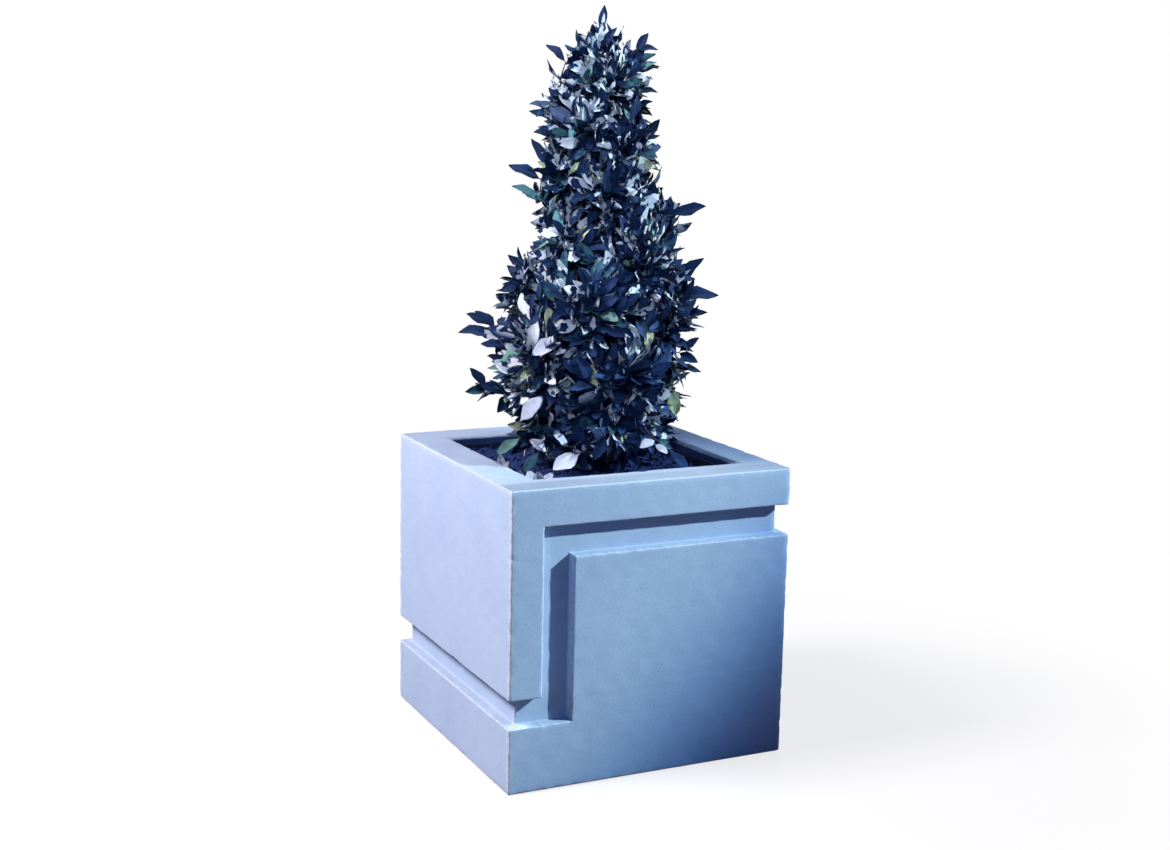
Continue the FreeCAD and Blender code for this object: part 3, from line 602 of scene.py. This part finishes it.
shadeShare = addNode(laurelLeaf, "Math", {0: spotShare, 1: dapple}, operation="MULTIPLY")
ribHeight = addNode(laurelLeaf, "Math", {0: veinWave, 1: leafLook["veinRelief"], 2: ribShare},
                    operation="MULTIPLY_ADD")
finishSurface(laurelLeaf, shader, tone, [(shadeShare, leafLook["shade"]), (ribShare, leafLook["veinLight"])],
              ribHeight, 0.2, leafLook["reliefDepth"])

# Young bark: smooth grey brown with fine lengthwise cracks, painted dark as painted shade in them, and pale
# pores

bark = dict(skin="#2B3050", crackShade="#171B33", pore="#6B7088", crackSpacing=0.004, crackStretch=0.22,
            pores=150, reliefDepth=0.001)   # a metre, so a pore every 7 mm
youngBark, shader, place = newMaterial("youngBark", Roughness=0.8, Specular_IOR_Level=0.2)
stretched = addNode(youngBark, "Mapping", {"Vector": place, "Scale": (1, 1, bark["crackStretch"])})
cracks = addNode(youngBark, "TexNoise", {"Vector": stretched, "Scale": 1 / bark["crackSpacing"], "Detail": 5})
crackShadeShare = addNode(youngBark, "MapRange", {"Value": cracks, "From Min": 0.5, "From Max": 0.36})
pores = addNode(youngBark, "TexVoronoi", {"Vector": place, "Scale": bark["pores"]})
poreShare = addNode(youngBark, "MapRange", {"Value": pores, "From Min": 0.22, "From Max": 0.12,
                                            "To Max": 0.5})
finishSurface(youngBark, shader, bark["skin"], [(crackShadeShare, bark["crackShade"]), (poreShare, bark["pore"])],
              cracks, 0.6, bark["reliefDepth"])
dressNodes(youngBark, ("trunk", "lower_branches", "middle_branches", "upper_branches"))

# The shrub's outline and wood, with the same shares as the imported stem, branches and leaf masses

shrub = dict(
    foot=0.600, rise=0.865, radius=0.205, lean=(0.9, -0.43, 0.0),
    outline=[   # share of the height, radius and lean as shares of the shrub's radius
        (0.00, 0.88, 0.02), (0.09, 0.92, 0.03), (0.185, 0.97, 0.00), (0.29, 0.98, 0.02), (0.38, 0.96, 0.10),
        (0.47, 0.84, 0.13), (0.53, 0.76, 0.18), (0.57, 0.66, 0.13), (0.65, 0.57, 0.05), (0.72, 0.52, 0.04),
        (0.785, 0.52, 0.02), (0.86, 0.42, 0.05), (0.93, 0.29, 0.05), (1.00, 0.06, 0.02)],
    tiers=[   # name, foot as a share of the height, steps between rows of tufts, tufts round
        ("Skirt", 0.00, 4, 12), ("Lower", 0.185, 4, 12), ("Middle", 0.38, 3, 9), ("Upper", 0.57, 4, 7),
        ("Crown", 0.785, 4, 5)],
    branchSets=[   # first branch, count, lowest and highest share, reach as a share of the outline, rise
        (0, 11, 0.02, 0.34, 0.70, 0.55), (11, 8, 0.38, 0.62, 0.65, 0.70), (19, 6, 0.66, 0.83, 0.60, 0.80)],
    tuftDepth=0.040, leafSkin=0.008, slowLumps=5, slowDrift=-14, slowShare=0.25,
    stem=(0.490, 1.345), sway=0.014)
shares, radiusShares, leanShares = np.array(shrub["outline"]).T
tierFoot = np.array([tier[1] for tier in shrub["tiers"]])
tierSteps, tierTufts = np.array([tier[2:] for tier in shrub["tiers"]]).T
goldenAngle = math.radians(137.5)


def outlineAt(share):
    # radius and lean of the shrub at shares of its height, in straight lines between the outline's points
    return [np.interp(share, shares, values) * shrub["radius"] for values in (radiusShares, leanShares)]


def spokes(turn):
    # level directions at these turns
    return np.stack([np.cos(turn), np.sin(turn), 0 * turn], -1)


def hollowAt(share, turn):
    # depth below the outline: tufts and hollows take turns round the shrub and from row to row,
    # cos(tufts x turn) x cos(pi x row), and a slow wave makes them uneven
    tier = np.clip(np.searchsorted(tierFoot, share, "right") - 1, 0, len(tierFoot) - 1)
    row = (share - tierFoot[tier]) / (np.append(tierFoot, 1.0)[tier + 1] - tierFoot[tier]) * tierSteps[tier]
    tuft = np.cos(tierTufts[tier] * turn) * np.cos(np.pi * row)
    slow = np.sin(shrub["slowLumps"] * turn + shrub["slowDrift"] * share)
    wave = tuft * (1 - shrub["slowShare"]) + slow * shrub["slowShare"]
    return np.interp(share, shares, radiusShares) * (shrub["leafSkin"] + shrub["tuftDepth"] * (1 - wave) / 2)


def stemCentre(high):
    # sway x share x sin(turn) to one side and half of sway x share x (1 - cos(turn)) to the other, where the
    # share of the stem's height grows from 0 and the turn goes round once
    share = (high - shrub["stem"][0]) / (shrub["stem"][1] - shrub["stem"][0])
    turn = 2 * np.pi * share
    sway = shrub["sway"] * share
    return np.stack([sway * np.sin(turn), sway * (1 - np.cos(turn)) / 2, high], -1)


def branchLines(steps):
    # points along every branch: outward from the stem, and upward by reach x rise x t(1 + t) / 2
    lines = []
    along = np.linspace(0, 1, steps)[None, :, None]
    for first, count, low, high, reachShare, riseShare in shrub["branchSets"]:
        share = np.linspace(low, high, count)
        radius, lean = outlineAt(share)
        tipRadius, tipLean = outlineAt(share + reachShare * (radius - lean) * riseShare / shrub["rise"])
        reach = (reachShare * np.minimum(radius - lean, tipRadius - tipLean))[:, None, None]
        start = stemCentre(shrub["foot"] + share * shrub["rise"])[:, None]
        out = spokes((first + np.arange(count)) * goldenAngle)[:, None]
        lines.append(start + out * (reach * along) + upward * (reach * riseShare * along * (1 + along) / 2))
    return np.concatenate(lines)


woodPoints = np.concatenate([branchLines(14)[:, 3:].reshape(-1, 3), stemCentre(np.linspace(0.62, 1.34, 40))])

# Shoots: curved tubes from the nearest wood to a place just inside the outline, each with a spray of leaves

shoots = dict(count=470, sides=5, rings=6, footRadius=0.0024, tipRadius=0.0011, sprayLeaves=8,
              bareShare=0.30, within=(0.012, 0.046), leastReach=0.3, scatter=0.12,
              clear=(0.012, 0.045),               # at the foot and the top of the outline
              slimBelow=0.15, slimLeast=0.4,      # where the outline is slimmer, shoots end nearer to it
              footBelow=0.035, bend=0.30, evenness=0.012, slant=(0.23, 0.11, 0.96), seed=61)
rng = np.random.default_rng(shoots["seed"])
count = shoots["count"]
fine = np.linspace(0, 1, 400)
weight = np.cumsum(outlineAt(fine)[0] + shoots["evenness"])   # shoots spread evenly over the outline's skin
share = np.interp((np.arange(count) + 0.5) / count, weight / weight[-1], fine)
turn = np.arange(count) * goldenAngle + rng.normal(0, shoots["scatter"], count)
radius, lean = outlineAt(share)
within = rng.uniform(*shoots["within"], count) * np.clip(radius / shoots["slimBelow"], shoots["slimLeast"], 1)
reach = np.maximum(radius * shoots["leastReach"], radius - hollowAt(share, turn) - within)
out = spokes(turn)
tipHeight = shrub["foot"] + shoots["clear"][0] + share * (shrub["rise"] - shoots["clear"][1])
shootTip = np.array(shrub["lean"]) * lean[:, None] + out * reach[:, None] + upward * tipHeight[:, None]


def nearestWood(tips):
    # the point of the stem or a branch nearest to a place a little below each tip
    gap = np.linalg.norm((tips - upward * shoots["footBelow"])[:, None] - woodPoints[None], axis=-1)
    return woodPoints[gap.argmin(1)]


def bentLine(start, middle, end, t):
    # quadratic curve: (1-t)^2 start + 2t(1-t) middle + t^2 end, and its heading
    t = np.asarray(t)[None, :, None]
    line = (1 - t) ** 2 * start[:, None] + 2 * t * (1 - t) * middle[:, None] + t ** 2 * end[:, None]
    heading = unit(2 * (1 - t) * (middle - start)[:, None] + 2 * t * (end - middle)[:, None])
    return line, heading


def shootMiddle(start, end, outside):
    # the bend point: half way, pushed outward and as much down, so that the shoot turns up to its tip
    span = np.linalg.norm(end - start, axis=-1, keepdims=True) * shoots["bend"]
    return (start + end) / 2 + outside * span - upward * span


shootFoot = nearestWood(shootTip)
shootBend = shootMiddle(shootFoot, shootTip, out)

# Leaves along each shoot: turns of the golden angle, opening wide low down and closing round the tip

leafSizes = dict(length=(0.050, 0.082), tipShorter=0.22, crownFrom=0.8, crownLength=0.86, width=0.40,
                 widthSpread=(0.85, 1.15), thickness=0.0009, petiole=0.07, fold=(0.15, 0.5), crown=0.14,
                 droop=(0.02, 0.4), wave=0.05, waveTurns=3.1,
                 opening=62, closing=40, openingSpread=9,   # degrees
                 outward=0.20, scatter=0.10, faceUp=0.75, faceOut=1.5, faceScatter=0.25,
                 slant=(0.31, 0.17, 0.93), seed=71)
rng = np.random.default_rng(leafSizes["seed"])
spray = shoots["sprayLeaves"]
leafBase, leafAxis = bentLine(shootFoot, shootBend, shootTip, np.linspace(shoots["bareShare"], 1.0, spray))
order = np.linspace(0, 1, spray)[None, :]
spin = (np.arange(spray)[None, :] * goldenAngle + rng.uniform(0, 2 * np.pi, (count, 1)))[..., None]
opening = np.radians(leafSizes["opening"] - leafSizes["closing"] * order
                     + rng.normal(0, leafSizes["openingSpread"], (count, spray)))[..., None]
aside = unit(np.cross(leafAxis, leafSizes["slant"]))
spoke = aside * np.cos(spin) + np.cross(leafAxis, aside) * np.sin(spin)
heading = unit(leafAxis * np.cos(opening) + spoke * np.sin(opening) + out[:, None] * leafSizes["outward"]
               + rng.normal(0, leafSizes["scatter"], (count, spray, 3)))
# stalks twist so that blades pointing sideways still show their faces to the light outside
sideways = 1 - (heading * out[:, None]).sum(-1, keepdims=True) ** 2
upFace = (upward * leafSizes["faceUp"] + out[:, None] * leafSizes["faceOut"] * sideways
          + rng.normal(0, leafSizes["faceScatter"], (count, spray, 3)))
length = rng.uniform(*leafSizes["length"], (count, spray)) * (1 - leafSizes["tipShorter"] * order)
length *= np.where(share[:, None] > leafSizes["crownFrom"], leafSizes["crownLength"], 1.0)
base, heading, upFace, length = (part.reshape(-1, *part.shape[2:])
                                 for part in (leafBase, heading, upFace, length))

# Leaves placed one by one where the photograph shows single ones: tone, foot and tip in millimetres

accentLeaves = [
    ("dark", (-95, 46, 1136), (-153, 75, 1174)), ("teal", (-87, 43, 1092), (-155, 53, 1125)),
    ("dark", (-72, 13, 1252), (-127, 40, 1272)), ("slate", (-74, 36, 1283), (-119, 58, 1286)),
    ("dark", (-57, 5, 1202), (-106, 18, 1242)), ("slate", (-55, 27, 1366), (-89, 43, 1405)),
    ("dark", (69, -34, 1393), (109, -53, 1401)), ("dark", (64, -31, 1362), (105, -63, 1362)),
    ("dark", (65, -32, 1315), (111, -54, 1318)), ("dark", (57, -28, 1272), (90, -66, 1297)),
    ("dark", (138, -67, 1070), (202, -98, 1093)), ("dark", (150, -73, 928), (187, -114, 993)),
    ("dark", (149, -73, 906), (232, -113, 922)), ("dark", (151, -79, 868), (195, -128, 886)),
    ("slate", (159, -82, 796), (197, -96, 830)), ("dark", (-174, 85, 841), (-227, 111, 868)),
    ("slate", (-173, 89, 825), (-251, 89, 839)), ("dark", (-187, 96, 714), (-219, 107, 756)),
    ("dark", (-153, 75, 702), (-214, 71, 731)), ("dark", (-143, 70, 764), (-198, 63, 788)),
    ("dark", (-123, 60, 936), (-178, 53, 915)), ("white", (-187, -76, 674), (-155, -102, 728)),
    ("pale", (-154, -81, 872), (-177, -81, 811)), ("white", (-119, -109, 830), (-179, -102, 812)),
    ("pale", (-70, -100, 917), (-108, -92, 944)), ("pale", (6, -125, 960), (-50, -109, 997)),
    ("yellow", (-129, -93, 842), (-141, -98, 901)), ("yellow", (116, -157, 678), (102, -161, 738)),
    ("white", (-91, -145, 615), (-149, -150, 589)), ("white", (-143, -108, 616), (-178, -114, 647)),
    ("white", (-110, -135, 629), (-142, -142, 658)), ("white", (51, -192, 642), (15, -197, 634)),
    ("white", (56, -183, 632), (70, -212, 621)), ("teal", (-179, -58, 637), (-236, -74, 610)),
    ("teal", (-159, -101, 615), (-199, -125, 583)), ("dark", (89, -177, 617), (109, -231, 590)),
    ("pale", (37, -151, 720), (59, -173, 694)), ("pale", (-42, -68, 1122), (-21, -90, 1161)),
    ("yellow", (-81, -49, 1148), (-65, -68, 1179)), ("pale", (46, -111, 1104), (19, -110, 1133)),
    # fallen ones, stuck in the soil by the near corner and the left wall
    ("white", (-196, -190, 560), (-206, -205, 601)), ("white", (-196, -198, 560), (-176, -208, 598)),
    ("white", (-200, -176, 560), (-208, -168, 598)), ("pale", (-203, -35, 560), (-209, -28, 604)),
    ("pale", (-203, -40, 560), (-205, -66, 594)), ("pale", (-200, -120, 560), (-209, -126, 590)),
]
accents = dict(face=(-0.25, -0.6, 0.75), broad=1.35, dapple=0.35, outer=21, loose=6,
               besides=(0.55, 0.75, 0.95), sideLength=(0.042, 0.062), ahead=0.8, aside=0.7, scatter=0.12)
accentCount = len(accentLeaves)
accentFoot, accentTip = (np.array([row[i] for row in accentLeaves]) / 1000 for i in (1, 2))
accentHeading = unit(accentTip - accentFoot)
toViewer = np.array(accents["face"])
accentFace = toViewer - accentHeading * (accentHeading @ toViewer)[:, None]
# each of the first ones, which stand out from the outline, has three smaller leaves on its shoot
accentRoot = nearestWood(accentFoot)
accentBend = shootMiddle(accentRoot, accentFoot, unit(accentFoot * level))
sideFoot, sideAxis = bentLine(*(part[:accents["outer"]] for part in (accentRoot, accentBend, accentFoot)),
                              accents["besides"])
sideFace = accentFace[:accents["outer"]]
sideSpin = rng.uniform(0, 2 * np.pi, sideFoot.shape[:2] + (1,))
sideAside = unit(np.cross(sideAxis, sideFace[:, None]))
sideHeading = unit(sideAxis * accents["ahead"] + sideAside * np.sign(np.sin(sideSpin)) * accents["aside"]
                   + rng.normal(0, accents["scatter"], sideFoot.shape))
base = np.concatenate([base, sideFoot.reshape(-1, 3), accentFoot])
heading = np.concatenate([heading, sideHeading.reshape(-1, 3), accentHeading])
upFace = np.concatenate([upFace, np.repeat(sideFace, sideFoot.shape[1], 0), accentFace])
length = np.concatenate([length, rng.uniform(*accents["sideLength"], sideFoot.shape[0] * sideFoot.shape[1]),
                         np.linalg.norm(accentTip - accentFoot, axis=-1)])

# Tones, from the photograph: most leaves are navy, with slate, teal, pale sunlit and a few yellow green ones

# pale and white tones are painted sunlight, and the navy ones partly painted shade
leafTones = dict(
    colours=dict(dark=("#122240", "#0F1D39", "#152745"), slate=("#20304F", "#364664"),
                 teal=("#2C5062", "#4F7C86", "#2C505C", "#587F78"), pale=("#B0BCCC", "#9FADBF", "#BBC6D2"),
                 yellow=("#A6B296", "#869A7C"), white=("#AEB7CA", "#A1ACC1")),
    chances=dict(dark=0.44, slate=0.05, teal=0.12, pale=0.86, yellow=0.03, white=0.0),
    # pale leaves with painted sunlight are more likely low at the left and high up, navy ones with painted
    # shade low at the right
    more=(("teal", "left", 0.36), ("pale", "lowLeft", 0.75), ("pale", "high", 0.16),
          ("yellow", "lowLeft", 0.04), ("dark", "lowRight", 1.10), ("dark", "high", 0.40)),
    dapple=dict(pale=1, teal=0.8, yellow=0.7), spread=(0.85, 1.15),
    shadeLift=(0.9, 0.7),   # painted light: how much paler low dark leaves are made to lift their shade, and how much less of that at the left
    leftFrom=(0.02, -0.16), depthShare=0.5, lowFrom=(1.0, 0.7),   # the limits of the regions
    leftLight=(-0.89, 0.04, 0.45), rightLight=(0.84, -0.48, 0.26), turnScatter=0.2,
    halves=(0.15, 0.7, 0.15), seed=81)   # pale leaves with one bright half, both, or the other
rng = np.random.default_rng(leafTones["seed"])
toneNames = list(leafTones["chances"])
leafCount = len(base)
leftness = smoothStep(*leafTones["leftFrom"], base[:, 0] - base[:, 1] * leafTones["depthShare"])
lowness = smoothStep(*leafTones["lowFrom"], base[:, 2])
regions = dict(left=leftness, lowLeft=leftness * lowness, lowRight=(1 - leftness) * lowness, high=1 - lowness)
chance = np.tile(list(leafTones["chances"].values()), (leafCount, 1))
for name, region, amount in leafTones["more"]:
    chance[:, toneNames.index(name)] += amount * regions[region]
chance /= chance.sum(1, keepdims=True)
pick = (rng.uniform(size=(leafCount, 1)) > np.cumsum(chance, 1)).sum(1).clip(0, len(toneNames) - 1)
pick[-accentCount:] = [toneNames.index(row[0]) for row in accentLeaves]
shade = rng.integers(0, 1000, leafCount)
leafColour = np.zeros((leafCount, 3))
for number, name in enumerate(toneNames):
    colours = np.array([linearColour(text)[:3] for text in leafTones["colours"][name]])
    chosen = pick == number
    leafColour[chosen] = colours[shade[chosen] % len(colours)]
leafColour *= rng.uniform(*leafTones["spread"], (leafCount, 1))
# painted light lifting the shade of low dark leaves, less at the left
shadeLift = lowness * (leafTones["shadeLift"][0] - leafTones["shadeLift"][1] * leftness)
leafColour *= 1 + ((pick == toneNames.index("dark")) * shadeLift)[:, None]
# pale leaves carry painted sunlight: they turn outward and to the lamp of their side,
# and on three in ten of them only one half of the folded blade is painted bright
isPaleSunlit = pick == toneNames.index("pale")
isPaleSunlit[-accentCount:] = False
dappleShare = np.array([leafTones["dapple"].get(name, 0) for name in toneNames])[pick]
dappleShare[-accentCount:] *= accents["dapple"]
toLight = np.where(leftness[:, None] > 0.5, leafTones["leftLight"], leafTones["rightLight"])
turned = toLight + unit(base * level) + rng.normal(0, leafTones["turnScatter"], base.shape)
upFace = np.where(isPaleSunlit[:, None], turned, upFace)
brightHalf = rng.choice([-1, 0, 1], leafCount, p=leafTones["halves"])[:, None, None]
print("leaf plan made,", leafCount, "leaves")


def leafBlades(base, heading, upFace, length, broad, seed):
    # a grid for each leaf: stations u run from stalk to tip, and the ring goes over the upper face and back
    # under. Past the stalk the half width follows sin(pi u^0.9)^0.85; the halves fold up from the midrib by
    # their distance from it, the margin waves with sin(u), and the blade bends down with u^2.
    rng = np.random.default_rng(seed)
    count = len(base)
    u = np.array([0, 0.07, 0.20, 0.36, 0.54, 0.72, 0.88, 1.0])
    across = np.array([-1, -0.5, 0, 0.5, 1, 0])
    afterStalk = np.clip((u - leafSizes["petiole"]) / (1 - leafSizes["petiole"]), 0, 1)
    stalkAndTip = [0.09, 0.09, 0, 0, 0, 0, 0, 0.025]   # the least half width as a share of the widest
    spread = np.maximum(np.sin(np.pi * afterStalk ** 0.9) ** 0.85, stalkAndTip)[:, None]
    face = unit(upFace - heading * (upFace * heading).sum(-1, keepdims=True))
    side = np.cross(heading, face)
    width = length * leafSizes["width"] * broad * rng.uniform(*leafSizes["widthSpread"], count) / 2
    fold, droop, phase = (rng.uniform(*limits, count)[:, None, None] for limits in
                          (leafSizes["fold"], leafSizes["droop"], (0, 2 * np.pi)))
    length, half, u = length[:, None, None], width[:, None, None] * spread, u[:, None]   # leaf, station, ring
    lift = half * (fold * np.abs(across) + leafSizes["crown"] * (1 - (2 * np.abs(across) - 1) ** 2))
    lift[..., 5] = -leafSizes["thickness"]
    turns = np.sin(leafSizes["waveTurns"] * np.pi * u + phase)
    lift += length * leafSizes["wave"] * across ** 2 * turns * spread
    lift -= length * droop * u ** 2 * 0.5
    forward = length * u * (1 - 0.12 * droop * u) + 0 * across
    points = base[:, None, None] + sum(axis[:, None, None] * amount[..., None] for axis, amount in
                                       ((heading, forward), (side, half * across), (face, lift)))
    return points, u, across


broad = np.where(pick == toneNames.index("white"), accents["broad"], 1.0)
bladePoints, bladeU, bladeAcross = leafBlades(base, heading, upFace, length, broad, leafSizes["seed"] + 1)
stationCount, ringCount = bladePoints.shape[1:3]
halfAmount = np.clip(0.5 + 2 * brightHalf * bladeAcross, brightHalf == 0, 1)
patchAmount = np.where(isPaleSunlit[:, None, None], halfAmount, 1.0)[..., None]
darkTone = np.array(linearColour(leafTones["colours"]["dark"][0])[:3])
pointColour = np.ones(bladePoints.shape[:3] + (4,))
pointColour[..., :3] = darkTone + (leafColour[:, None, None] - darkTone) * patchAmount
pointDapple = np.broadcast_to(dappleShare[:, None, None], bladePoints.shape[:3])
tierOf = np.searchsorted(tierFoot[1:], (base[:, 2] - shrub["foot"]) / shrub["rise"])
stalkEnd = np.arange(ringCount)[None]
tipEnd = stalkEnd[:, ::-1] + (stationCount - 1) * ringCount
oneLeaf = [gridFaces(stationCount, ringCount, False, True), stalkEnd, tipEnd]
ringUv = np.stack(np.broadcast_arrays((bladeAcross + 1) / 2, bladeU), -1).reshape(-1, 2)
for tier, tierName in enumerate(row[0] for row in shrub["tiers"]):
    chosen = tierOf == tier
    faces = copies(oneLeaf, chosen.sum(), stationCount * ringCount)
    piece = makePiece("leaves" + tierName, bladePoints[chosen], faces, laurelLeaf, "planting")
    addAttribute(piece, "leafTone", "FLOAT_COLOR", pointColour[chosen])
    addAttribute(piece, "leafDapple", "FLOAT", pointDapple[chosen])
    uvLayer = piece.data.uv_layers.new(name="blade")
    corner = np.zeros(len(piece.data.loops), np.int32)
    piece.data.loops.foreach_get("vertex_index", corner)
    uvLayer.data.foreach_set("uv", ringUv[corner % (stationCount * ringCount)].astype(np.float32).ravel())
    # the margins and the rib below stay crisp: their lengthwise edges are marked sharp
    ends = np.zeros(len(piece.data.edges) * 2, np.int32)
    piece.data.edges.foreach_get("vertices", ends)
    ends = ends.reshape(-1, 2) % ringCount
    crisp = (ends[:, 0] == ends[:, 1]) & np.isin(ends[:, 0], (0, 4, 5))
    edgeMarks = piece.data.attributes
    sharp = edgeMarks.get("sharp_edge") or edgeMarks.new("sharp_edge", "BOOLEAN", "EDGE")
    sharp.data.foreach_set("value", crisp)
    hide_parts("foliage_" + tierName.lower())
    print("leaves", tierName, chosen.sum())


def tubes(start, middle, end):
    # round tubes along bent lines, narrowing evenly from foot to tip, closed by a flat face at each end
    rings, sides = shoots["rings"], shoots["sides"]
    line, ahead = bentLine(start, middle, end, np.linspace(0, 1, rings))
    aside = unit(np.cross(ahead, shoots["slant"]))
    beside = np.cross(ahead, aside)
    turn = (2 * np.pi * np.arange(sides) / sides)[:, None]
    radius = np.linspace(shoots["footRadius"], shoots["tipRadius"], rings)[:, None, None]
    around = aside[:, :, None] * np.cos(turn) + beside[:, :, None] * np.sin(turn)
    first = np.arange(sides)[None]
    one = [gridFaces(rings, sides, False, True), first[:, ::-1], first + (rings - 1) * sides]
    return line[:, :, None] + radius * around, copies(one, len(start), rings * sides)


onShoots = slice(0, accentCount - accents["loose"])
tubePoints, tubeFaces = tubes(*(np.concatenate([many, few[onShoots]]) for many, few in (
    (shootFoot, accentRoot), (shootBend, accentBend), (shootTip, accentFoot))))
makePiece("leafShoots", tubePoints, tubeFaces, youngBark, "planting")
print("shoots made")

# Studio: a pale floor that keeps the shadow, white surroundings, soft lamps and two firm ones

studio = dict(floorSize=14.0, floorLit=0.08, paper=(0.93, 0.97), paperPatches=3,
              shadowShare=0.22, shadowReach=(0.55, 1.5),
              ambient="#7A9AFF", ambientStrength=0.19)


def seenBy(owner):
    # 1 for rays that the camera, a mirror or a clear surface sends, 0 for light that bounces
    rays = addNode(owner, "LightPath").outputs
    seen = addNode(owner, "Math", {0: rays["Is Camera Ray"], 1: rays["Is Glossy Ray"]}, operation="ADD")
    return addNode(owner, "Math", {0: seen, 1: rays["Is Transmission Ray"]}, operation="ADD", use_clamp=True)


floorMaterial = bpy.data.materials.new("studioFloor")
world = bpy.context.scene.world = bpy.data.worlds.new("studioWorld")
for owner in (floorMaterial, world):
    owner.use_nodes = True
    owner.node_tree.nodes.clear()
# the paper shows its shadow near the planter and turns to plain white further out
paper = addNode(floorMaterial, "TexNoise", {"Scale": studio["paperPatches"], "Detail": 4})
paperDark, paperPale = ((value, value, value, 1) for value in studio["paper"])
paperTone = addNode(floorMaterial, "Mix", {0: paper, 6: paperDark, 7: paperPale}, data_type="RGBA")
litPaper = addNode(floorMaterial, "BsdfDiffuse", {"Color": paperTone})
whitePaper = addNode(floorMaterial, "Emission", {"Color": "#FFFFFF", "Strength": 1.0})
place = addNode(floorMaterial, "TexCoord").outputs["Object"]
away = addNode(floorMaterial, "VectorMath", {0: place}, operation="LENGTH")
whiteShare = addNode(floorMaterial, "MapRange", {
    "Value": away, "From Min": studio["shadowReach"][0], "From Max": studio["shadowReach"][1],
    "To Min": 1 - studio["shadowShare"]}, interpolation_type="SMOOTHSTEP")
seenPaper = addNode(floorMaterial, "MixShader", {0: whiteShare, 1: litPaper, 2: whitePaper})
dimPaper = addNode(floorMaterial, "BsdfDiffuse", {"Color": (studio["floorLit"],) * 3 + (1,)})
ambient = addNode(world, "Background", {"Color": studio["ambient"], "Strength": studio["ambientStrength"]})
white = addNode(world, "Background", {"Color": "#FFFFFF", "Strength": 1.0})
for owner, output, lighting, seen in ((floorMaterial, "OutputMaterial", dimPaper, seenPaper),
                                      (world, "OutputWorld", ambient, white)):
    surface = addNode(owner, "MixShader", {0: seenBy(owner), 1: lighting, 2: seen})
    addNode(owner, output, {"Surface": surface})
floorMesh = bpy.data.meshes.new("studioFloor")
floorHalf = studio["floorSize"] / 2
floorCorners = np.array([(-1, -1, 0), (1, -1, 0), (1, 1, 0), (-1, 1, 0)]) * floorHalf
floorMesh.from_pydata(floorCorners, [], [(0, 1, 2, 3)])
floorMesh.materials.append(floorMaterial)
studioFloor = addObject("studioFloor", floorMesh)

# the key is two lamps in one place: the bluer one reaches a little further, so the light's edge turns blue
keyPlace = dict(kind="SPOT", place=(4.126, -2.266, 3.202), aim=(-0.254, -1.052, 1.353), size=0.07)
lamps = dict(
    leftSoftbox=dict(kind="AREA", place=(-2.70, 0.28, 3.22), aim=(-0.3, 0.0, 0.38), watts=262, size=1.15,
                     colour="#FFF2EE"),
    rightKey=dict(keyPlace, watts=1420, colour="#FFFDD1", cone=32.3, blend=0.378),
    rightKeyBlue=dict(keyPlace, watts=1260, colour="#8CCCFF", cone=34.6, blend=0.297),
    shrubLight=dict(kind="SPOT", place=(-1.7, -2.7, 2.3), aim=(0.0, 0.0, 1.15), watts=370, size=0.25,
                    colour="#EAF2FF", cone=18, blend=0.6),
    backFill=dict(kind="AREA", place=(1.9, 2.9, 0.85), aim=(0.0, 0.1, 0.55), watts=76, size=1.6,
                  colour="#E6EEFF"))
for name, lamp in lamps.items():
    lampData = bpy.data.lights.new(name, lamp["kind"])
    lampData.energy, lampData.color = lamp["watts"], linearColour(lamp["colour"])[:3]
    if lamp["kind"] == "AREA":
        lampData.size = lamp["size"]
    else:
        lampData.shadow_soft_size = lamp["size"]
        lampData.spot_size, lampData.spot_blend = math.radians(lamp["cone"]), lamp["blend"]
    back = unit(np.array(lamp["place"]) - np.array(lamp["aim"]))
    side = unit(np.cross(upward, back))
    lampObject = addObject(name, lampData)
    lampObject.matrix_world = standing(side, np.cross(back, side), back, lamp["place"])
    lampObject.visible_camera = False
bpy.context.scene.view_settings.view_transform = "Standard"
print("studio lit")
